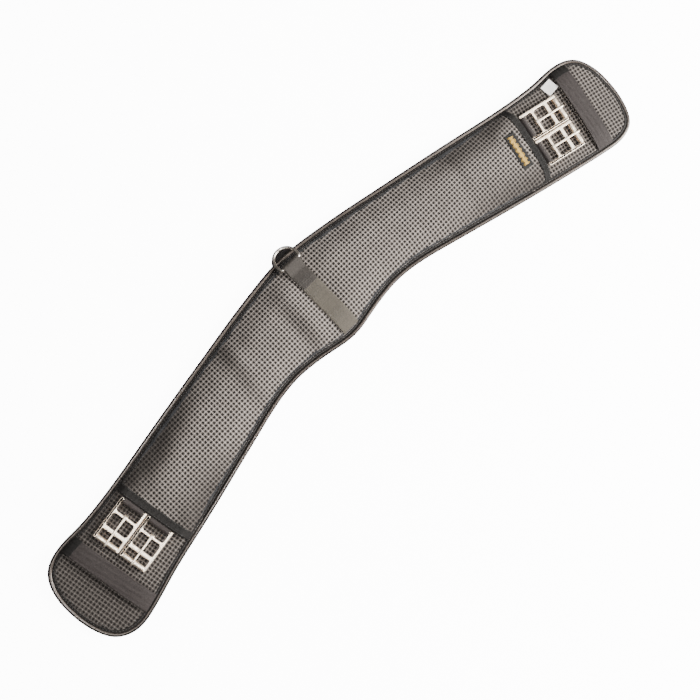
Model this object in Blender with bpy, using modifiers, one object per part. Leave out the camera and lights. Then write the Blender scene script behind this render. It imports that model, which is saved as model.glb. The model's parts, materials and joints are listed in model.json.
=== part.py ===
"""Contoured saddle girth, lying face up on its lining.

Metres, +Z up. The origin is on the floor under the middle of the bounding box. +X runs along the
chord from the left tab to the right tab, and +Y points to the front edge, the convex one.

The girth is a foam pad between a lining and waffle cloth. A thick centre panel forms a pocket at
each end. Two webbing loops come out of each pocket, and each carries a roller buckle that tips up
on its loop. A webbing keeper bridges each rounded tab, and a D-ring hangs in a fold of webbing on
the front edge.
"""

import math

import bmesh
import bpy
from mathutils import Matrix, Vector

MM = 0.001
GAP = 0.3 * MM  # clearance between pieces that lie on each other

# Half of the outer edge, from the middle of the front edge round the left tab to the rear edge.
HALF_EDGE = [
    (0, 84.3), (66, 77.2), (132, 65.7), (220, 49.6), (296, 35), (345, 28.2), (383, 26.7),
    (406.5, 17), (417.2, -4.9), (419.2, -28.5), (415.8, -56.3), (403.8, -82.5), (381.5, -92.9),
    (358.7, -90), (309, -75.6), (243, -60), (155, -37.5), (110.5, -26.7), (77, -23),
    (43.5, -26.2), (0, -33.3),
]
TUCK_BELOW_Y = -88  # the right tab's rear corner, below this line, is tucked in
RIGHT_TUCK = 3.7
STEPS_PER_SPAN = 3
CLIP_CLEAR = 6 * MM  # no point of a cut outline is nearer the cut than this, apart from the cut's ends

# Layers of the pad, from the floor up.
LINING_TOP = 1.5 * MM
FOAM_BOTTOM = LINING_TOP + GAP
FOAM_TOP = 7.8 * MM
COVER_BOTTOM = FOAM_TOP + GAP
COVER_TOP = 9.3 * MM
PANEL_BOTTOM = COVER_TOP + GAP
PANEL_TOP = 15.6 * MM
TRIM_BOTTOM = PANEL_TOP + GAP
LINING_INSET = 2.5 * MM
PAD_INSET = 6.0 * MM
PANEL_ROUNDING = 4.5 * MM
COVER_TUCK = 30 * MM  # how far a tab cover runs in under the centre panel

PIPING_RADIUS = 2.6 * MM
PIPING_HEIGHT = 6.1 * MM

# Each end has an arm frame: its origin lies midway between the inner ends of the two buckles,
# u points outward along the arm, and v points across it.
# The girth is soft, so the two arms lie a little differently.
ARM_ORIGIN = {"left": (-292.5 * MM, -14.1 * MM), "right": (300.5 * MM, -19.6 * MM)}
ARM_LEAN = {"left": 9.1, "right": 11.7}  # degrees that each arm slopes back from the chord
LIP_U = -2.0 * MM
LIP_TAPE_WIDTH = 8.5 * MM
LIP_TAPE_HALF_LENGTH = 42.5 * MM
LIP_TAPE_THICKNESS = 0.9 * MM

# Roller buckle, along u from the inner ends of its rails.
BUCKLE_PITCH = 33.8 * MM
BUCKLE_HEIGHT = 13.1 * MM
BUCKLE_HALF_WIDTH = 16.3 * MM
RAIL_SIZE = 3.2 * MM
RAIL_END_U = 49.3 * MM
LOOP_BAR_U = 2.2 * MM
TONGUE_BAR_U = 16.0 * MM
FLAT_BAR_U = 34.7 * MM
ROLLER_BAR_U = 47.3 * MM
ROUND_BAR_RADIUS = 1.5 * MM
FLAT_BAR_LENGTH = 4.8 * MM
FLAT_BAR_THICKNESS = 2.4 * MM
METAL_EDGE = 0.5 * MM
BORE_RADIUS = 1.95 * MM
ROLLER_RADIUS = 3.0 * MM
ROLLER_HALF_LENGTH = 12.7 * MM
TONGUE_EYE_RADIUS = 3.1 * MM
TONGUE_WIDTH = 2.8 * MM
TONGUE_THICKNESS = 2.0 * MM
TONGUE_OVERHANG = 1.6 * MM
TONGUE_TIP_DROP = 0.9 * MM
TONGUE_FLAT_BEFORE = 2 * MM  # where the shank lies level on the roller, before and past its top
TONGUE_FLAT_PAST = 1 * MM
ROUND_SIDES = 12

# Webbing loop that holds a buckle.
STRAP_WIDTH = 25 * MM
STRAP_THICKNESS = 3.0 * MM
STRAP_BOTTOM = PANEL_BOTTOM + 0.1 * MM
STRAP_LENGTH = 58 * MM
LOOP_RADIUS = BUCKLE_HEIGHT - STRAP_BOTTOM
POCKET_DEPTH = 62 * MM
POCKET_HALF_WIDTH = 31 * MM

# Keeper that bridges a tab.
KEEPER_U = 71.1 * MM
KEEPER_WIDTH = 20.5 * MM
KEEPER_HALF_LENGTH = 49.5 * MM
KEEPER_HALF_SPAN = 44 * MM
KEEPER_RISE = 5.0 * MM
KEEPER_RISE_POWER = 3  # higher is flatter in the middle and steeper at the ends
KEEPER_STEPS = 8  # on each half
KEEPER_THICKNESS = 1.4 * MM

# Centre strap and D-ring.
CENTRE_X = 2.2 * MM
CENTRE_STRAP_WIDTH = 21.8 * MM
CENTRE_STRAP_REAR_Y = -24.5 * MM
CENTRE_STRAP_LAYER = 1.5 * MM
FOLD_END_Y = 40.2 * MM
FOLD_RAMP_Y = 58.6 * MM
RING_BAR_Y = 71.2 * MM
RING_HOLE_RADIUS = 2.4 * MM
RING_BAR_HEIGHT = TRIM_BOTTOM + CENTRE_STRAP_LAYER + RING_HOLE_RADIUS
RING_WIRE_RADIUS = 1.9 * MM
RING_HALF_WIDTH = 13.5 * MM
RING_LENGTH = 22.2 * MM
RING_CORNER = 3.0 * MM
RING_DROOP = 25  # degrees below level
RING_TAB_RADIUS = 16.8 * MM
RING_TAB_TOP = 3.2 * MM
RING_TAB_INNER_Y = 78.8 * MM
RING_TAB_OUTER_Y = 92.9 * MM

LABEL_SIZE = (14.6 * MM, 44 * MM, 0.5 * MM)
LABEL_PLACE = (-23.1 * MM, 0.2 * MM)
LABEL_TURN = 0  # degrees
TAG_SIZE = (14 * MM, 14 * MM, 0.8 * MM)
TAG_PLACE = (51.2 * MM, 43.2 * MM)
TAG_TURN = 17  # degrees

WAFFLE = ("waffle_cloth", (0.16, 0.15, 0.145), 0.75, 0)
LINING_CLOTH = ("lining_cloth", (0.03, 0.03, 0.032), 0.85, 0)
FOAM = ("foam", (0.12, 0.12, 0.12), 0.95, 0)
PIPING_VINYL = ("piping_vinyl", (0.02, 0.02, 0.022), 0.3, 0)
WEBBING = ("webbing", (0.075, 0.068, 0.065), 0.7, 0)
CENTRE_WEBBING = ("centre_webbing", (0.2, 0.185, 0.165), 0.7, 0)
TAPE = ("binding_tape", (0.04, 0.038, 0.037), 0.6, 0)
STEEL = ("bright_steel", (0.83, 0.77, 0.74), 0.28, 1)
NICKEL = ("dark_nickel", (0.6, 0.57, 0.53), 0.25, 1)
LABEL_CLOTH = ("woven_label", (0.02, 0.02, 0.02), 0.7, 0)
TAG_CLOTH = ("white_tag", (0.9, 0.88, 0.85), 0.8, 0)


def collection(name):
    """A collection of that name, linked to the scene."""
    made = bpy.data.collections.new(name)
    bpy.context.scene.collection.children.link(made)
    return made


def material(name, colour, roughness, metallic):
    """The Principled material of that name, made once."""
    if name in bpy.data.materials:
        return bpy.data.materials[name]
    made = bpy.data.materials.new(name)
    made.use_nodes = True
    shader = made.node_tree.nodes["Principled BSDF"]
    shader.inputs["Base Color"].default_value = (*colour, 1)
    shader.inputs["Roughness"].default_value = roughness
    shader.inputs["Metallic"].default_value = metallic
    return made


def add_object(name, data, finish, place=None, parent=None):
    """Link one object to the girth's collection and give it its finish."""
    made = bpy.data.objects.new(name, data)
    if not data.materials:
        data.materials.append(material(*finish))
    PARTS.objects.link(made)
    if place is not None:
        made.matrix_world = place
    if parent is not None:
        made.parent = parent
    return made


def loop_curve(name, loops, thickness, rounding=0.0, segments=0):
    """A flat outline with any holes, extruded both ways from its plane by half the thickness."""
    curve = bpy.data.curves.new(name, "CURVE")
    curve.dimensions = "2D"
    curve.fill_mode = "BOTH"
    for points in loops:
        spline = curve.splines.new("POLY")
        spline.points.add(len(points) - 1)
        for point, (x, y) in zip(spline.points, points):
            point.co = (x, y, 0, 1)
        spline.use_cyclic_u = True
    curve.extrude = thickness / 2 - rounding
    curve.bevel_depth = rounding
    curve.bevel_resolution = segments
    curve.offset = -rounding
    return curve


def tube_curve(name, points, radius, resolution):
    """A round tube along a closed ring of points in space."""
    curve = bpy.data.curves.new(name, "CURVE")
    curve.dimensions = "3D"
    spline = curve.splines.new("POLY")
    spline.points.add(len(points) - 1)
    for point, co in zip(spline.points, points):
        point.co = (*co, 1)
    spline.use_cyclic_u = True
    curve.bevel_depth = radius
    curve.bevel_resolution = resolution
    return curve


def box_mesh(name, size, centre=(0, 0, 0)):
    """A box mesh with its sizes applied."""
    mesh = bpy.data.meshes.new(name)
    shape = bmesh.new()
    bmesh.ops.create_cube(shape, size=1)
    bmesh.ops.transform(shape, matrix=Matrix.Diagonal((*size, 1)), verts=shape.verts)
    bmesh.ops.translate(shape, vec=centre, verts=shape.verts)
    shape.to_mesh(mesh)
    shape.free()
    return mesh


def helper(name, mesh):
    """A cutter or a piece to be joined, kept out of the model."""
    made = bpy.data.objects.new(name, mesh)
    HELPERS.objects.link(made)
    made.hide_render = True
    made.display_type = "WIRE"
    return made


def add_boolean(target, other, operation):
    """Cut the other object from the target, or join it to the target."""
    cut = target.modifiers.new(other.name, "BOOLEAN")
    cut.operation = operation
    cut.solver = "EXACT"
    cut.object = other


def mesh_from(source, name):
    """The evaluated, welded mesh of an object, which is then removed."""
    bpy.context.view_layer.update()
    graph = bpy.context.evaluated_depsgraph_get()
    mesh = bpy.data.meshes.new_from_object(source.evaluated_get(graph))
    mesh.name = name
    shape = bmesh.new()
    shape.from_mesh(mesh)
    bmesh.ops.remove_doubles(shape, verts=shape.verts, dist=0.00001)
    shape.to_mesh(mesh)
    shape.free()
    bpy.data.objects.remove(source)
    return mesh


def smooth_loop(points, steps):
    """A closed curve through the points, with chord-length spans cut into equal steps."""
    count = len(points)
    result = []
    for i in range(count):
        before, start, end, after = [Vector(points[(i + k) % count]) for k in (-1, 0, 1, 2)]
        back, span, ahead = (start - before).length, (end - start).length, (after - end).length
        leave = (end - before) / (back + span) * span
        arrive = (after - start) / (span + ahead) * span
        for step in range(steps):
            t = step / steps
            result.append(
                start * (2 * t**3 - 3 * t**2 + 1) + leave * (t**3 - 2 * t**2 + t)
                + end * (3 * t**2 - 2 * t**3) + arrive * (t**3 - t**2)
            )
    return result


def edge_loop(inset):
    """The outer edge moved inward, as a list of points that runs clockwise."""
    right = [(x * MM, (y + RIGHT_TUCK if y < TUCK_BELOW_Y else y) * MM) for x, y in HALF_EDGE]
    left = [(-x * MM, y * MM) for x, y in reversed(HALF_EDGE[1:-1])]
    edge = smooth_loop(right + left, STEPS_PER_SPAN)
    moved = []
    for i, point in enumerate(edge):
        along = (edge[(i + 1) % len(edge)] - edge[i - 1]).normalized()
        moved.append((point.x + along.y * inset, point.y - along.x * inset))
    return moved


def clip(points, frame, limit, keep_outer):
    """Keep the part of a loop beyond a limit on u in an arm frame, with no short spans at the cut."""
    place = frame.inverted()
    sign = 1 if keep_outer else -1
    kept = []
    for i, here in enumerate(points):
        before = points[i - 1]
        depth = sign * ((place @ Vector((*here, 0))).x - limit)
        depth_before = sign * ((place @ Vector((*before, 0))).x - limit)
        if depth * depth_before < 0:
            share = depth_before / (depth_before - depth)
            kept.append(tuple(b + (h - b) * share for b, h in zip(before, here)))
        if depth >= CLIP_CLEAR:
            kept.append(here)
    return kept


def arm_frame(side):
    """Where the arm frame of one end stands."""
    lean = math.radians(ARM_LEAN[side])
    turn = math.pi + lean if side == "left" else -lean
    return Matrix.Translation((*ARM_ORIGIN[side], 0)) @ Matrix.Rotation(turn, 4, "Z")


def buckle_frame(side, row):
    """An arm frame moved to the middle of one buckle. Row 1 is the front one and -1 the rear one."""
    across = row if side == "right" else -row
    return arm_frame(side) @ Matrix.Translation((0, across * BUCKLE_PITCH / 2, 0))


def arc(centre, radius, start, end, steps):
    """Points along an arc, from a start to an end angle in degrees, both included."""
    angles = [math.radians(start + (end - start) * k / steps) for k in range(steps + 1)]
    return [(centre[0] + radius * math.cos(a), centre[1] + radius * math.sin(a)) for a in angles]


def circle(centre, radius, sides):
    """A ring of points."""
    return arc(centre, radius, 0, 360, sides)[:-1]


def slab(name, points, bottom, top, finish, rounding=0.0, segments=0):
    """A flat layer between two heights."""
    curve = loop_curve(name, [points], top - bottom, rounding, segments)
    return add_object(name, curve, finish, Matrix.Translation((0, 0, (bottom + top) / 2)))


def side_profile(name, loops, width, finish, place):
    """A shape drawn in the frame's XZ plane and extruded across it."""
    upright = Matrix.Rotation(math.pi / 2, 4, "X")
    return add_object(name, loop_curve(name, loops, width), finish, place @ upright)


def make_pad():
    """Lining, foam, the cloth on top of it, and the piping round the edge."""
    slab("lining", edge_loop(LINING_INSET), 0, LINING_TOP, LINING_CLOTH)
    pad = edge_loop(PAD_INSET)
    slab("foam_core", pad, FOAM_BOTTOM, FOAM_TOP, FOAM)
    middle = pad
    for side in ARM_LEAN:
        frame = arm_frame(side)
        cover = clip(pad, frame, -COVER_TUCK, True)
        slab(f"{side}_tab_cover", cover, COVER_BOTTOM, COVER_TOP, WAFFLE)
        middle = clip(middle, frame, -COVER_TUCK - GAP, False)
    slab("centre_base_cloth", middle, COVER_BOTTOM, COVER_TOP, LINING_CLOTH)
    route = [(x, y, PIPING_HEIGHT) for x, y in edge_loop(PIPING_RADIUS)]
    add_object("edge_piping", tube_curve("edge_piping", route, PIPING_RADIUS, 2), PIPING_VINYL)


def make_centre_panel():
    """The padded centre panel, with a pocket under each end for the buckle straps."""
    loop = edge_loop(PAD_INSET)
    for side in ARM_LEAN:
        loop = clip(loop, arm_frame(side), LIP_U, False)
    thickness = PANEL_TOP - PANEL_BOTTOM
    mirrored_bottom = PANEL_BOTTOM - thickness
    rough = slab("rough_panel", loop, mirrored_bottom, PANEL_TOP, WAFFLE, PANEL_ROUNDING, 1)
    height = Matrix.Translation((0, 0, PANEL_BOTTOM))
    panel = add_object("centre_panel", mesh_from(rough, "centre_panel"), WAFFLE, height)
    lower_half = box_mesh("lower_half", (1000 * MM, 300 * MM, 2 * thickness))
    under = helper("under_panel", lower_half)
    under.location.z = PANEL_BOTTOM - thickness
    add_boolean(panel, under, "DIFFERENCE")
    roof = STRAP_BOTTOM + STRAP_THICKNESS + GAP
    floor = COVER_BOTTOM
    size = (2 * POCKET_DEPTH, 2 * POCKET_HALF_WIDTH, roof - floor)
    for side in ARM_LEAN:
        pocket = helper(f"{side}_pocket", box_mesh("pocket", size, (0, 0, (roof + floor) / 2)))
        pocket.matrix_world = arm_frame(side)
        add_boolean(panel, pocket, "DIFFERENCE")


def make_lip_tape(side):
    """The binding along one pocket mouth."""
    size = (LIP_TAPE_WIDTH, 2 * LIP_TAPE_HALF_LENGTH, LIP_TAPE_THICKNESS)
    centre = (LIP_U - LIP_TAPE_WIDTH / 2, 0, TRIM_BOTTOM + LIP_TAPE_THICKNESS / 2)
    add_object(f"{side}_pocket_tape", box_mesh("pocket_tape", size, centre), TAPE, arm_frame(side))


def make_keeper(side):
    """The webbing bridge over one tab, with its two ends sewn down flat."""
    rise = []
    for k in range(-KEEPER_STEPS, KEEPER_STEPS + 1):
        share = math.sin(math.pi / 2 * k / KEEPER_STEPS)
        lift = KEEPER_RISE * (1 - abs(share) ** KEEPER_RISE_POWER)
        rise.append((KEEPER_HALF_SPAN * share, PANEL_BOTTOM + lift))
    under = [(-KEEPER_HALF_LENGTH, PANEL_BOTTOM)] + rise + [(KEEPER_HALF_LENGTH, PANEL_BOTTOM)]
    over = [(v, z + KEEPER_THICKNESS) for v, z in reversed(under)]
    turned = Matrix.Rotation(math.pi / 2, 4, "Z")
    place = arm_frame(side) @ Matrix.Translation((KEEPER_U, 0, 0)) @ turned
    side_profile(f"{side}_keeper", [under + over], KEEPER_WIDTH, WEBBING, place)


def make_buckle_strap(name, place):
    """Doubled webbing that comes out of the pocket and loops round the inner bar of a buckle."""
    top = STRAP_BOTTOM + STRAP_THICKNESS
    close = 180 + math.degrees(math.asin((BUCKLE_HEIGHT - top) / LOOP_RADIUS))
    loop = arc((LOOP_BAR_U, BUCKLE_HEIGHT), LOOP_RADIUS, -90, close, 16)
    outline = [(-STRAP_LENGTH, STRAP_BOTTOM)] + loop + [(-STRAP_LENGTH, top)]
    hole = circle((LOOP_BAR_U, BUCKLE_HEIGHT), BORE_RADIUS, ROUND_SIDES)
    side_profile(name, [outline, hole], STRAP_WIDTH, WEBBING, place)


def bevelled_box(name, size, centre):
    """A box with softened edges, as a helper."""
    made = helper(name, box_mesh(name, size, centre))
    edge = made.modifiers.new("edge", "BEVEL")
    edge.width = METAL_EDGE
    edge.segments = 1
    return made


def cross_bar(name, u):
    """A round bar across the buckle, as a helper."""
    mesh = bpy.data.meshes.new(name)
    shape = bmesh.new()
    length = 2 * BUCKLE_HALF_WIDTH - RAIL_SIZE
    bmesh.ops.create_cone(
        shape, cap_ends=True, segments=ROUND_SIDES, depth=length,
        radius1=ROUND_BAR_RADIUS, radius2=ROUND_BAR_RADIUS,
    )
    turn = Matrix.Translation((u, 0, 0)) @ Matrix.Rotation(math.pi / 2, 4, "X")
    bmesh.ops.transform(shape, matrix=turn, verts=shape.verts)
    shape.to_mesh(mesh)
    shape.free()
    return helper(name, mesh)


def frame_mesh():
    """The buckle frame about its inner bar: two rails, a flat bar and three round bars."""
    rail = (RAIL_END_U, RAIL_SIZE, RAIL_SIZE)
    rail_v = BUCKLE_HALF_WIDTH - RAIL_SIZE / 2
    middle = RAIL_END_U / 2 - LOOP_BAR_U
    whole = bevelled_box("rail", rail, (middle, rail_v, 0))
    bar = (FLAT_BAR_LENGTH, 2 * BUCKLE_HALF_WIDTH - RAIL_SIZE, FLAT_BAR_THICKNESS)
    joined = [
        bevelled_box("other_rail", rail, (middle, -rail_v, 0)),
        bevelled_box("flat_bar", bar, (FLAT_BAR_U - LOOP_BAR_U, 0, 0)),
    ]
    joined += [cross_bar("bar", u - LOOP_BAR_U) for u in (LOOP_BAR_U, TONGUE_BAR_U, ROLLER_BAR_U)]
    for piece in joined[1:] + joined[:1]:
        add_boolean(whole, piece, "UNION")
    mesh = mesh_from(whole, "buckle_frame")
    for piece in joined:
        bpy.data.objects.remove(piece)
    return mesh


def roller_mesh():
    """A tube about Z, turned from its section."""
    mesh = bpy.data.meshes.new("roller_section")
    end = ROLLER_HALF_LENGTH
    edge = METAL_EDGE
    section = [
        (ROLLER_RADIUS - edge, end), (ROLLER_RADIUS, end - edge), (ROLLER_RADIUS, edge - end),
        (ROLLER_RADIUS - edge, -end), (BORE_RADIUS, -end), (BORE_RADIUS, end),
    ]
    points = [(x, 0, z) for x, z in section]
    mesh.from_pydata(points, [(k, (k + 1) % len(points)) for k in range(len(points))], [])
    tube = helper("roller_section", mesh)
    turn = tube.modifiers.new("turn", "SCREW")
    turn.steps = ROUND_SIDES
    turn.render_steps = ROUND_SIDES
    turn.use_merge_vertices = True
    turn.merge_threshold = 0.0001
    made = mesh_from(tube, "roller")
    made.shade_smooth()
    made.set_sharp_from_angle(angle=math.radians(40))
    return made


def tongue_loops():
    """The tongue's side view about the bar it turns on: an eye, and a shank laid on the roller."""
    reach = ROLLER_BAR_U - TONGUE_BAR_U
    rest = ROLLER_RADIUS + GAP
    tip = reach + ROLLER_RADIUS + TONGUE_OVERHANG
    rise = math.atan2(rest + TONGUE_THICKNESS - TONGUE_EYE_RADIUS, reach)
    start = 90 - math.degrees(rise) * 0.5
    blend = math.degrees(math.asin(1 - TONGUE_THICKNESS / TONGUE_EYE_RADIUS)) + 6
    eye = arc((0, 0), TONGUE_EYE_RADIUS, start, 360 + blend, 18)
    point = rest - TONGUE_TIP_DROP
    shank = [
        (reach - TONGUE_FLAT_BEFORE, rest), (reach + TONGUE_FLAT_PAST, rest), (tip, point),
        (tip + GAP, point + 0.4 * TONGUE_THICKNESS),
        (reach + 1.5 * TONGUE_FLAT_PAST, rest + TONGUE_THICKNESS),
        (reach - 1.5 * TONGUE_FLAT_BEFORE, rest + TONGUE_THICKNESS),
    ]
    return [eye + shank, circle((0, 0), BORE_RADIUS, ROUND_SIDES)]


def make_buckle(name, place, meshes):
    """One buckle: an empty on the inner bar's axis carries the frame, the tongue and the roller."""
    pivot = bpy.data.objects.new(f"{name}_pivot", None)
    PARTS.objects.link(pivot)
    pivot.empty_display_size = 0.01
    pivot.matrix_world = place @ Matrix.Translation((LOOP_BAR_U, 0, BUCKLE_HEIGHT))
    upright = Matrix.Rotation(math.pi / 2, 4, "X")
    add_object(f"{name}_frame", meshes["frame"], STEEL, parent=pivot)
    tongue = add_object(f"{name}_tongue", meshes["tongue"], STEEL, parent=pivot)
    tongue.matrix_local = Matrix.Translation((TONGUE_BAR_U - LOOP_BAR_U, 0, 0)) @ upright
    roller = add_object(f"{name}_roller", meshes["roller"], STEEL, parent=pivot)
    roller.matrix_local = Matrix.Translation((ROLLER_BAR_U - LOOP_BAR_U, 0, 0)) @ upright


def make_centre_strap():
    """Webbing across the panel, folded back at the front edge round the bar of the D-ring."""
    low = TRIM_BOTTOM
    layer = CENTRE_STRAP_LAYER
    bar = (RING_BAR_Y, RING_BAR_HEIGHT)
    outer = RING_HOLE_RADIUS + layer
    lean = math.degrees(math.atan2(RING_BAR_HEIGHT + outer - low - 2 * layer, RING_BAR_Y - FOLD_RAMP_Y))
    outline = [(CENTRE_STRAP_REAR_Y, low)] + arc(bar, outer, -90, 90 + lean, 14)
    outline += [
        (FOLD_RAMP_Y, low + 2 * layer), (FOLD_END_Y, low + 2 * layer),
        (FOLD_END_Y, low + layer), (CENTRE_STRAP_REAR_Y, low + layer),
    ]
    hole = circle(bar, RING_HOLE_RADIUS, ROUND_SIDES)
    turned = Matrix.Rotation(math.pi / 2, 4, "Z")
    place = Matrix.Translation((CENTRE_X, 0, 0)) @ turned
    side_profile("centre_strap", [outline, hole], CENTRE_STRAP_WIDTH, CENTRE_WEBBING, place)


def make_d_ring():
    """Round wire bent to a D, about its straight bar."""
    arc_y = RING_LENGTH - RING_HALF_WIDTH
    corner = RING_CORNER
    inner_x = RING_HALF_WIDTH - corner
    route = arc((inner_x, corner), corner, -90, 0, 3)
    route += arc((0, arc_y), RING_HALF_WIDTH, 0, 180, 14)
    route += arc((-inner_x, corner), corner, 180, 270, 3)
    wire = tube_curve("d_ring", [(x, y, 0) for x, y in route], RING_WIRE_RADIUS, 2)
    hang = Matrix.Rotation(math.radians(-RING_DROOP), 4, "X")
    place = Matrix.Translation((CENTRE_X, RING_BAR_Y, RING_BAR_HEIGHT)) @ hang
    add_object("d_ring", wire, NICKEL, place)


def make_ring_tab():
    """The rounded tab sewn under the front edge, which keeps the ring off the horse."""
    radius = RING_TAB_RADIUS
    middle = (CENTRE_X, RING_TAB_OUTER_Y - radius)
    start = math.degrees(math.asin((RING_TAB_INNER_Y - middle[1]) / radius))
    loop = arc(middle, radius, start, 180 - start, 14)
    slab("ring_tab", loop, FOAM_BOTTOM, RING_TAB_TOP, TAPE)


def make_patch(name, side, size, place, turn, bottom, finish):
    """A small flat piece of cloth in an arm frame."""
    middle = Matrix.Translation((*place, bottom + size[2] / 2)) @ Matrix.Rotation(math.radians(turn), 4, "Z")
    add_object(name, box_mesh(name, size), finish, arm_frame(side) @ middle)


def make_girth():
    """Build every piece of the girth."""
    make_pad()
    make_centre_panel()
    meshes = {
        "frame": frame_mesh(),
        "roller": roller_mesh(),
        "tongue": loop_curve("tongue", tongue_loops(), TONGUE_WIDTH),
    }
    for side in ARM_LEAN:
        make_lip_tape(side)
        make_keeper(side)
        for row_name, row in (("front", 1), ("rear", -1)):
            place = buckle_frame(side, row)
            make_buckle_strap(f"{side}_{row_name}_buckle_strap", place)
            make_buckle(f"{side}_{row_name}_buckle", place, meshes)
    make_centre_strap()
    make_d_ring()
    make_ring_tab()
    make_patch("label_patch", "right", LABEL_SIZE, LABEL_PLACE, LABEL_TURN, TRIM_BOTTOM, LABEL_CLOTH)
    make_patch("size_tag", "right", TAG_SIZE, TAG_PLACE, TAG_TURN, PANEL_BOTTOM, TAG_CLOTH)


for old in list(bpy.data.objects):
    bpy.data.objects.remove(old)
PARTS = collection("saddle_girth")
HELPERS = collection("helpers")
make_girth()
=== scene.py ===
# Looks of the contoured saddle girth: cloth, webbing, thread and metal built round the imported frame.
# Lengths are in metres. Sizes marked "inset" are measured inward from the outer side of the piping.
import json
import math

import bmesh
import bpy
import numpy as np
from mathutils import Matrix, Vector
from mathutils.bvhtree import BVHTree


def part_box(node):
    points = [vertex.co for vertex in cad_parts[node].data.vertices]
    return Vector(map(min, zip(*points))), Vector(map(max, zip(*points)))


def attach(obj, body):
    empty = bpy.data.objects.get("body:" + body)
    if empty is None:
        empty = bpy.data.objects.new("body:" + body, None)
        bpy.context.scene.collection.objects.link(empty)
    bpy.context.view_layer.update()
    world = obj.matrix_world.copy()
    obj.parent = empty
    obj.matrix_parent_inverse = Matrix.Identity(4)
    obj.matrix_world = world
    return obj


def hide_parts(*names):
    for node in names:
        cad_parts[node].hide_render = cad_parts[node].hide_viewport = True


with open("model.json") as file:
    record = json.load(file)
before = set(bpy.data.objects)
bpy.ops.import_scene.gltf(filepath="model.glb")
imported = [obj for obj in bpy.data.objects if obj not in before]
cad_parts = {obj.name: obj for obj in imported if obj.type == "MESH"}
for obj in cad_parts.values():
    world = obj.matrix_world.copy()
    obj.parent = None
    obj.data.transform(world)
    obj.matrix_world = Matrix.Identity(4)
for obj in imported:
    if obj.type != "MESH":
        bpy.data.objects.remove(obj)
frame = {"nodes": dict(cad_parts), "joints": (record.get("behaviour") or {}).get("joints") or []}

MM = 0.001
UP = Vector((0, 0, 1))
LATTICE = Matrix.Identity(4)  # the panel's own lattice, along X and Y
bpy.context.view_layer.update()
JOINTS = {joint["name"]: joint for joint in frame["joints"]}
RING_PIVOT = Vector(JOINTS["d_ring_swing"]["pos_m"])
BUCKLES = [(side, row) for side in ("left", "right") for row in ("front", "rear")]

# The edge: the CAD lining stands this far inside the outer side of the piping.
LINING_INSET = 2.5 * MM
PIPING_RADIUS = 2.6 * MM
EDGE_POINTS = 1400

# Heights of the soft layers.
COVER_HEIGHT = 9.25 * MM
PANEL_HEIGHT = 15.2 * MM
SKIN = 0.9 * MM

# Waffle cloth: a square lattice of pits between raised threads.
PITCH = 4.15 * MM
CELLS = 4  # grid steps in one pitch
PIT_DEPTH = 0.55 * MM

COVER_INSET = 4.2 * MM
PANEL_INSET = 4.4 * MM
PANEL_SHOULDER = 15 * MM
PANEL_SEAM_HEIGHT = 6.4 * MM
SOFT_EDGE = 17 * MM  # how much wider the pad's rounded edge is away from the pockets
CROWN = 6 * MM  # the simulated rise levels off toward this

# Places along an arm: u is 0 near the inner ends of the buckle frames.
LOOP_BAR_U = 2.2 * MM
LIP_U = -1.7 * MM  # the pocket mouth
LIP_BOW = {"left": 1.0 * MM, "right": 4.5 * MM}  # how far its ends are drawn inward
LIP_HALF = 44 * MM


# ---------------- frames and outlines

def arm_frame(side):
    """u outward along the arm and v across it, from a point midway between its two buckles."""
    pivots = [Vector(JOINTS[f"{side}_{row}_buckle_tip"]["pos_m"]) for row in ("front", "rear")]
    axis = Vector(JOINTS[f"{side}_front_buckle_tip"]["axis"])
    across = -axis
    along = across.cross(UP)
    origin = (pivots[0] + pivots[1]) / 2 - along * LOOP_BAR_U
    return frame_of(along, across, UP, (origin.x, origin.y, 0))


def frame_of(x_axis, y_axis, z_axis, origin):
    """The matrix of three axes and an origin."""
    place = Matrix.Identity(4)
    for column, vector in enumerate((x_axis, y_axis, z_axis)):
        place.col[column][:3] = vector
    place.translation = origin
    return place


def run_of(points):
    """The distance along a path at each of its points."""
    return np.concatenate([[0], np.cumsum(np.linalg.norm(np.diff(points, axis=0), axis=1))])


def spots_at(points, run, marks):
    """The places at some distances along a path."""
    return np.column_stack([np.interp(marks, run, points[:, k]) for k in range(points.shape[1])])


def smooth_ring(points, count):
    """A closed curve through the points, cut into equal lengths."""
    points = np.asarray(points, float)
    n = len(points)
    t = np.arange(n * 24) / 24
    i = t.astype(int)
    f = (t - i)[:, None]
    p0, p1, p2, p3 = (points[(i + k) % n] for k in (-1, 0, 1, 2))
    fine = 0.5 * (2 * p1 + (p2 - p0) * f + (2 * p0 - 5 * p1 + 4 * p2 - p3) * f**2
                  + (3 * p1 - p0 - 3 * p2 + p3) * f**3)
    closed = np.vstack([fine, fine[:1]])
    run = run_of(closed)
    return spots_at(closed, run, np.linspace(0, run[-1], count, endpoint=False))


def soften(ring, rounds):
    """Average each point with its neighbours, to take out the corners of the faceted CAD edge."""
    for _ in range(rounds):
        ring = 0.5 * ring + 0.25 * (np.roll(ring, 1, axis=0) + np.roll(ring, -1, axis=0))
    return ring


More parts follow.
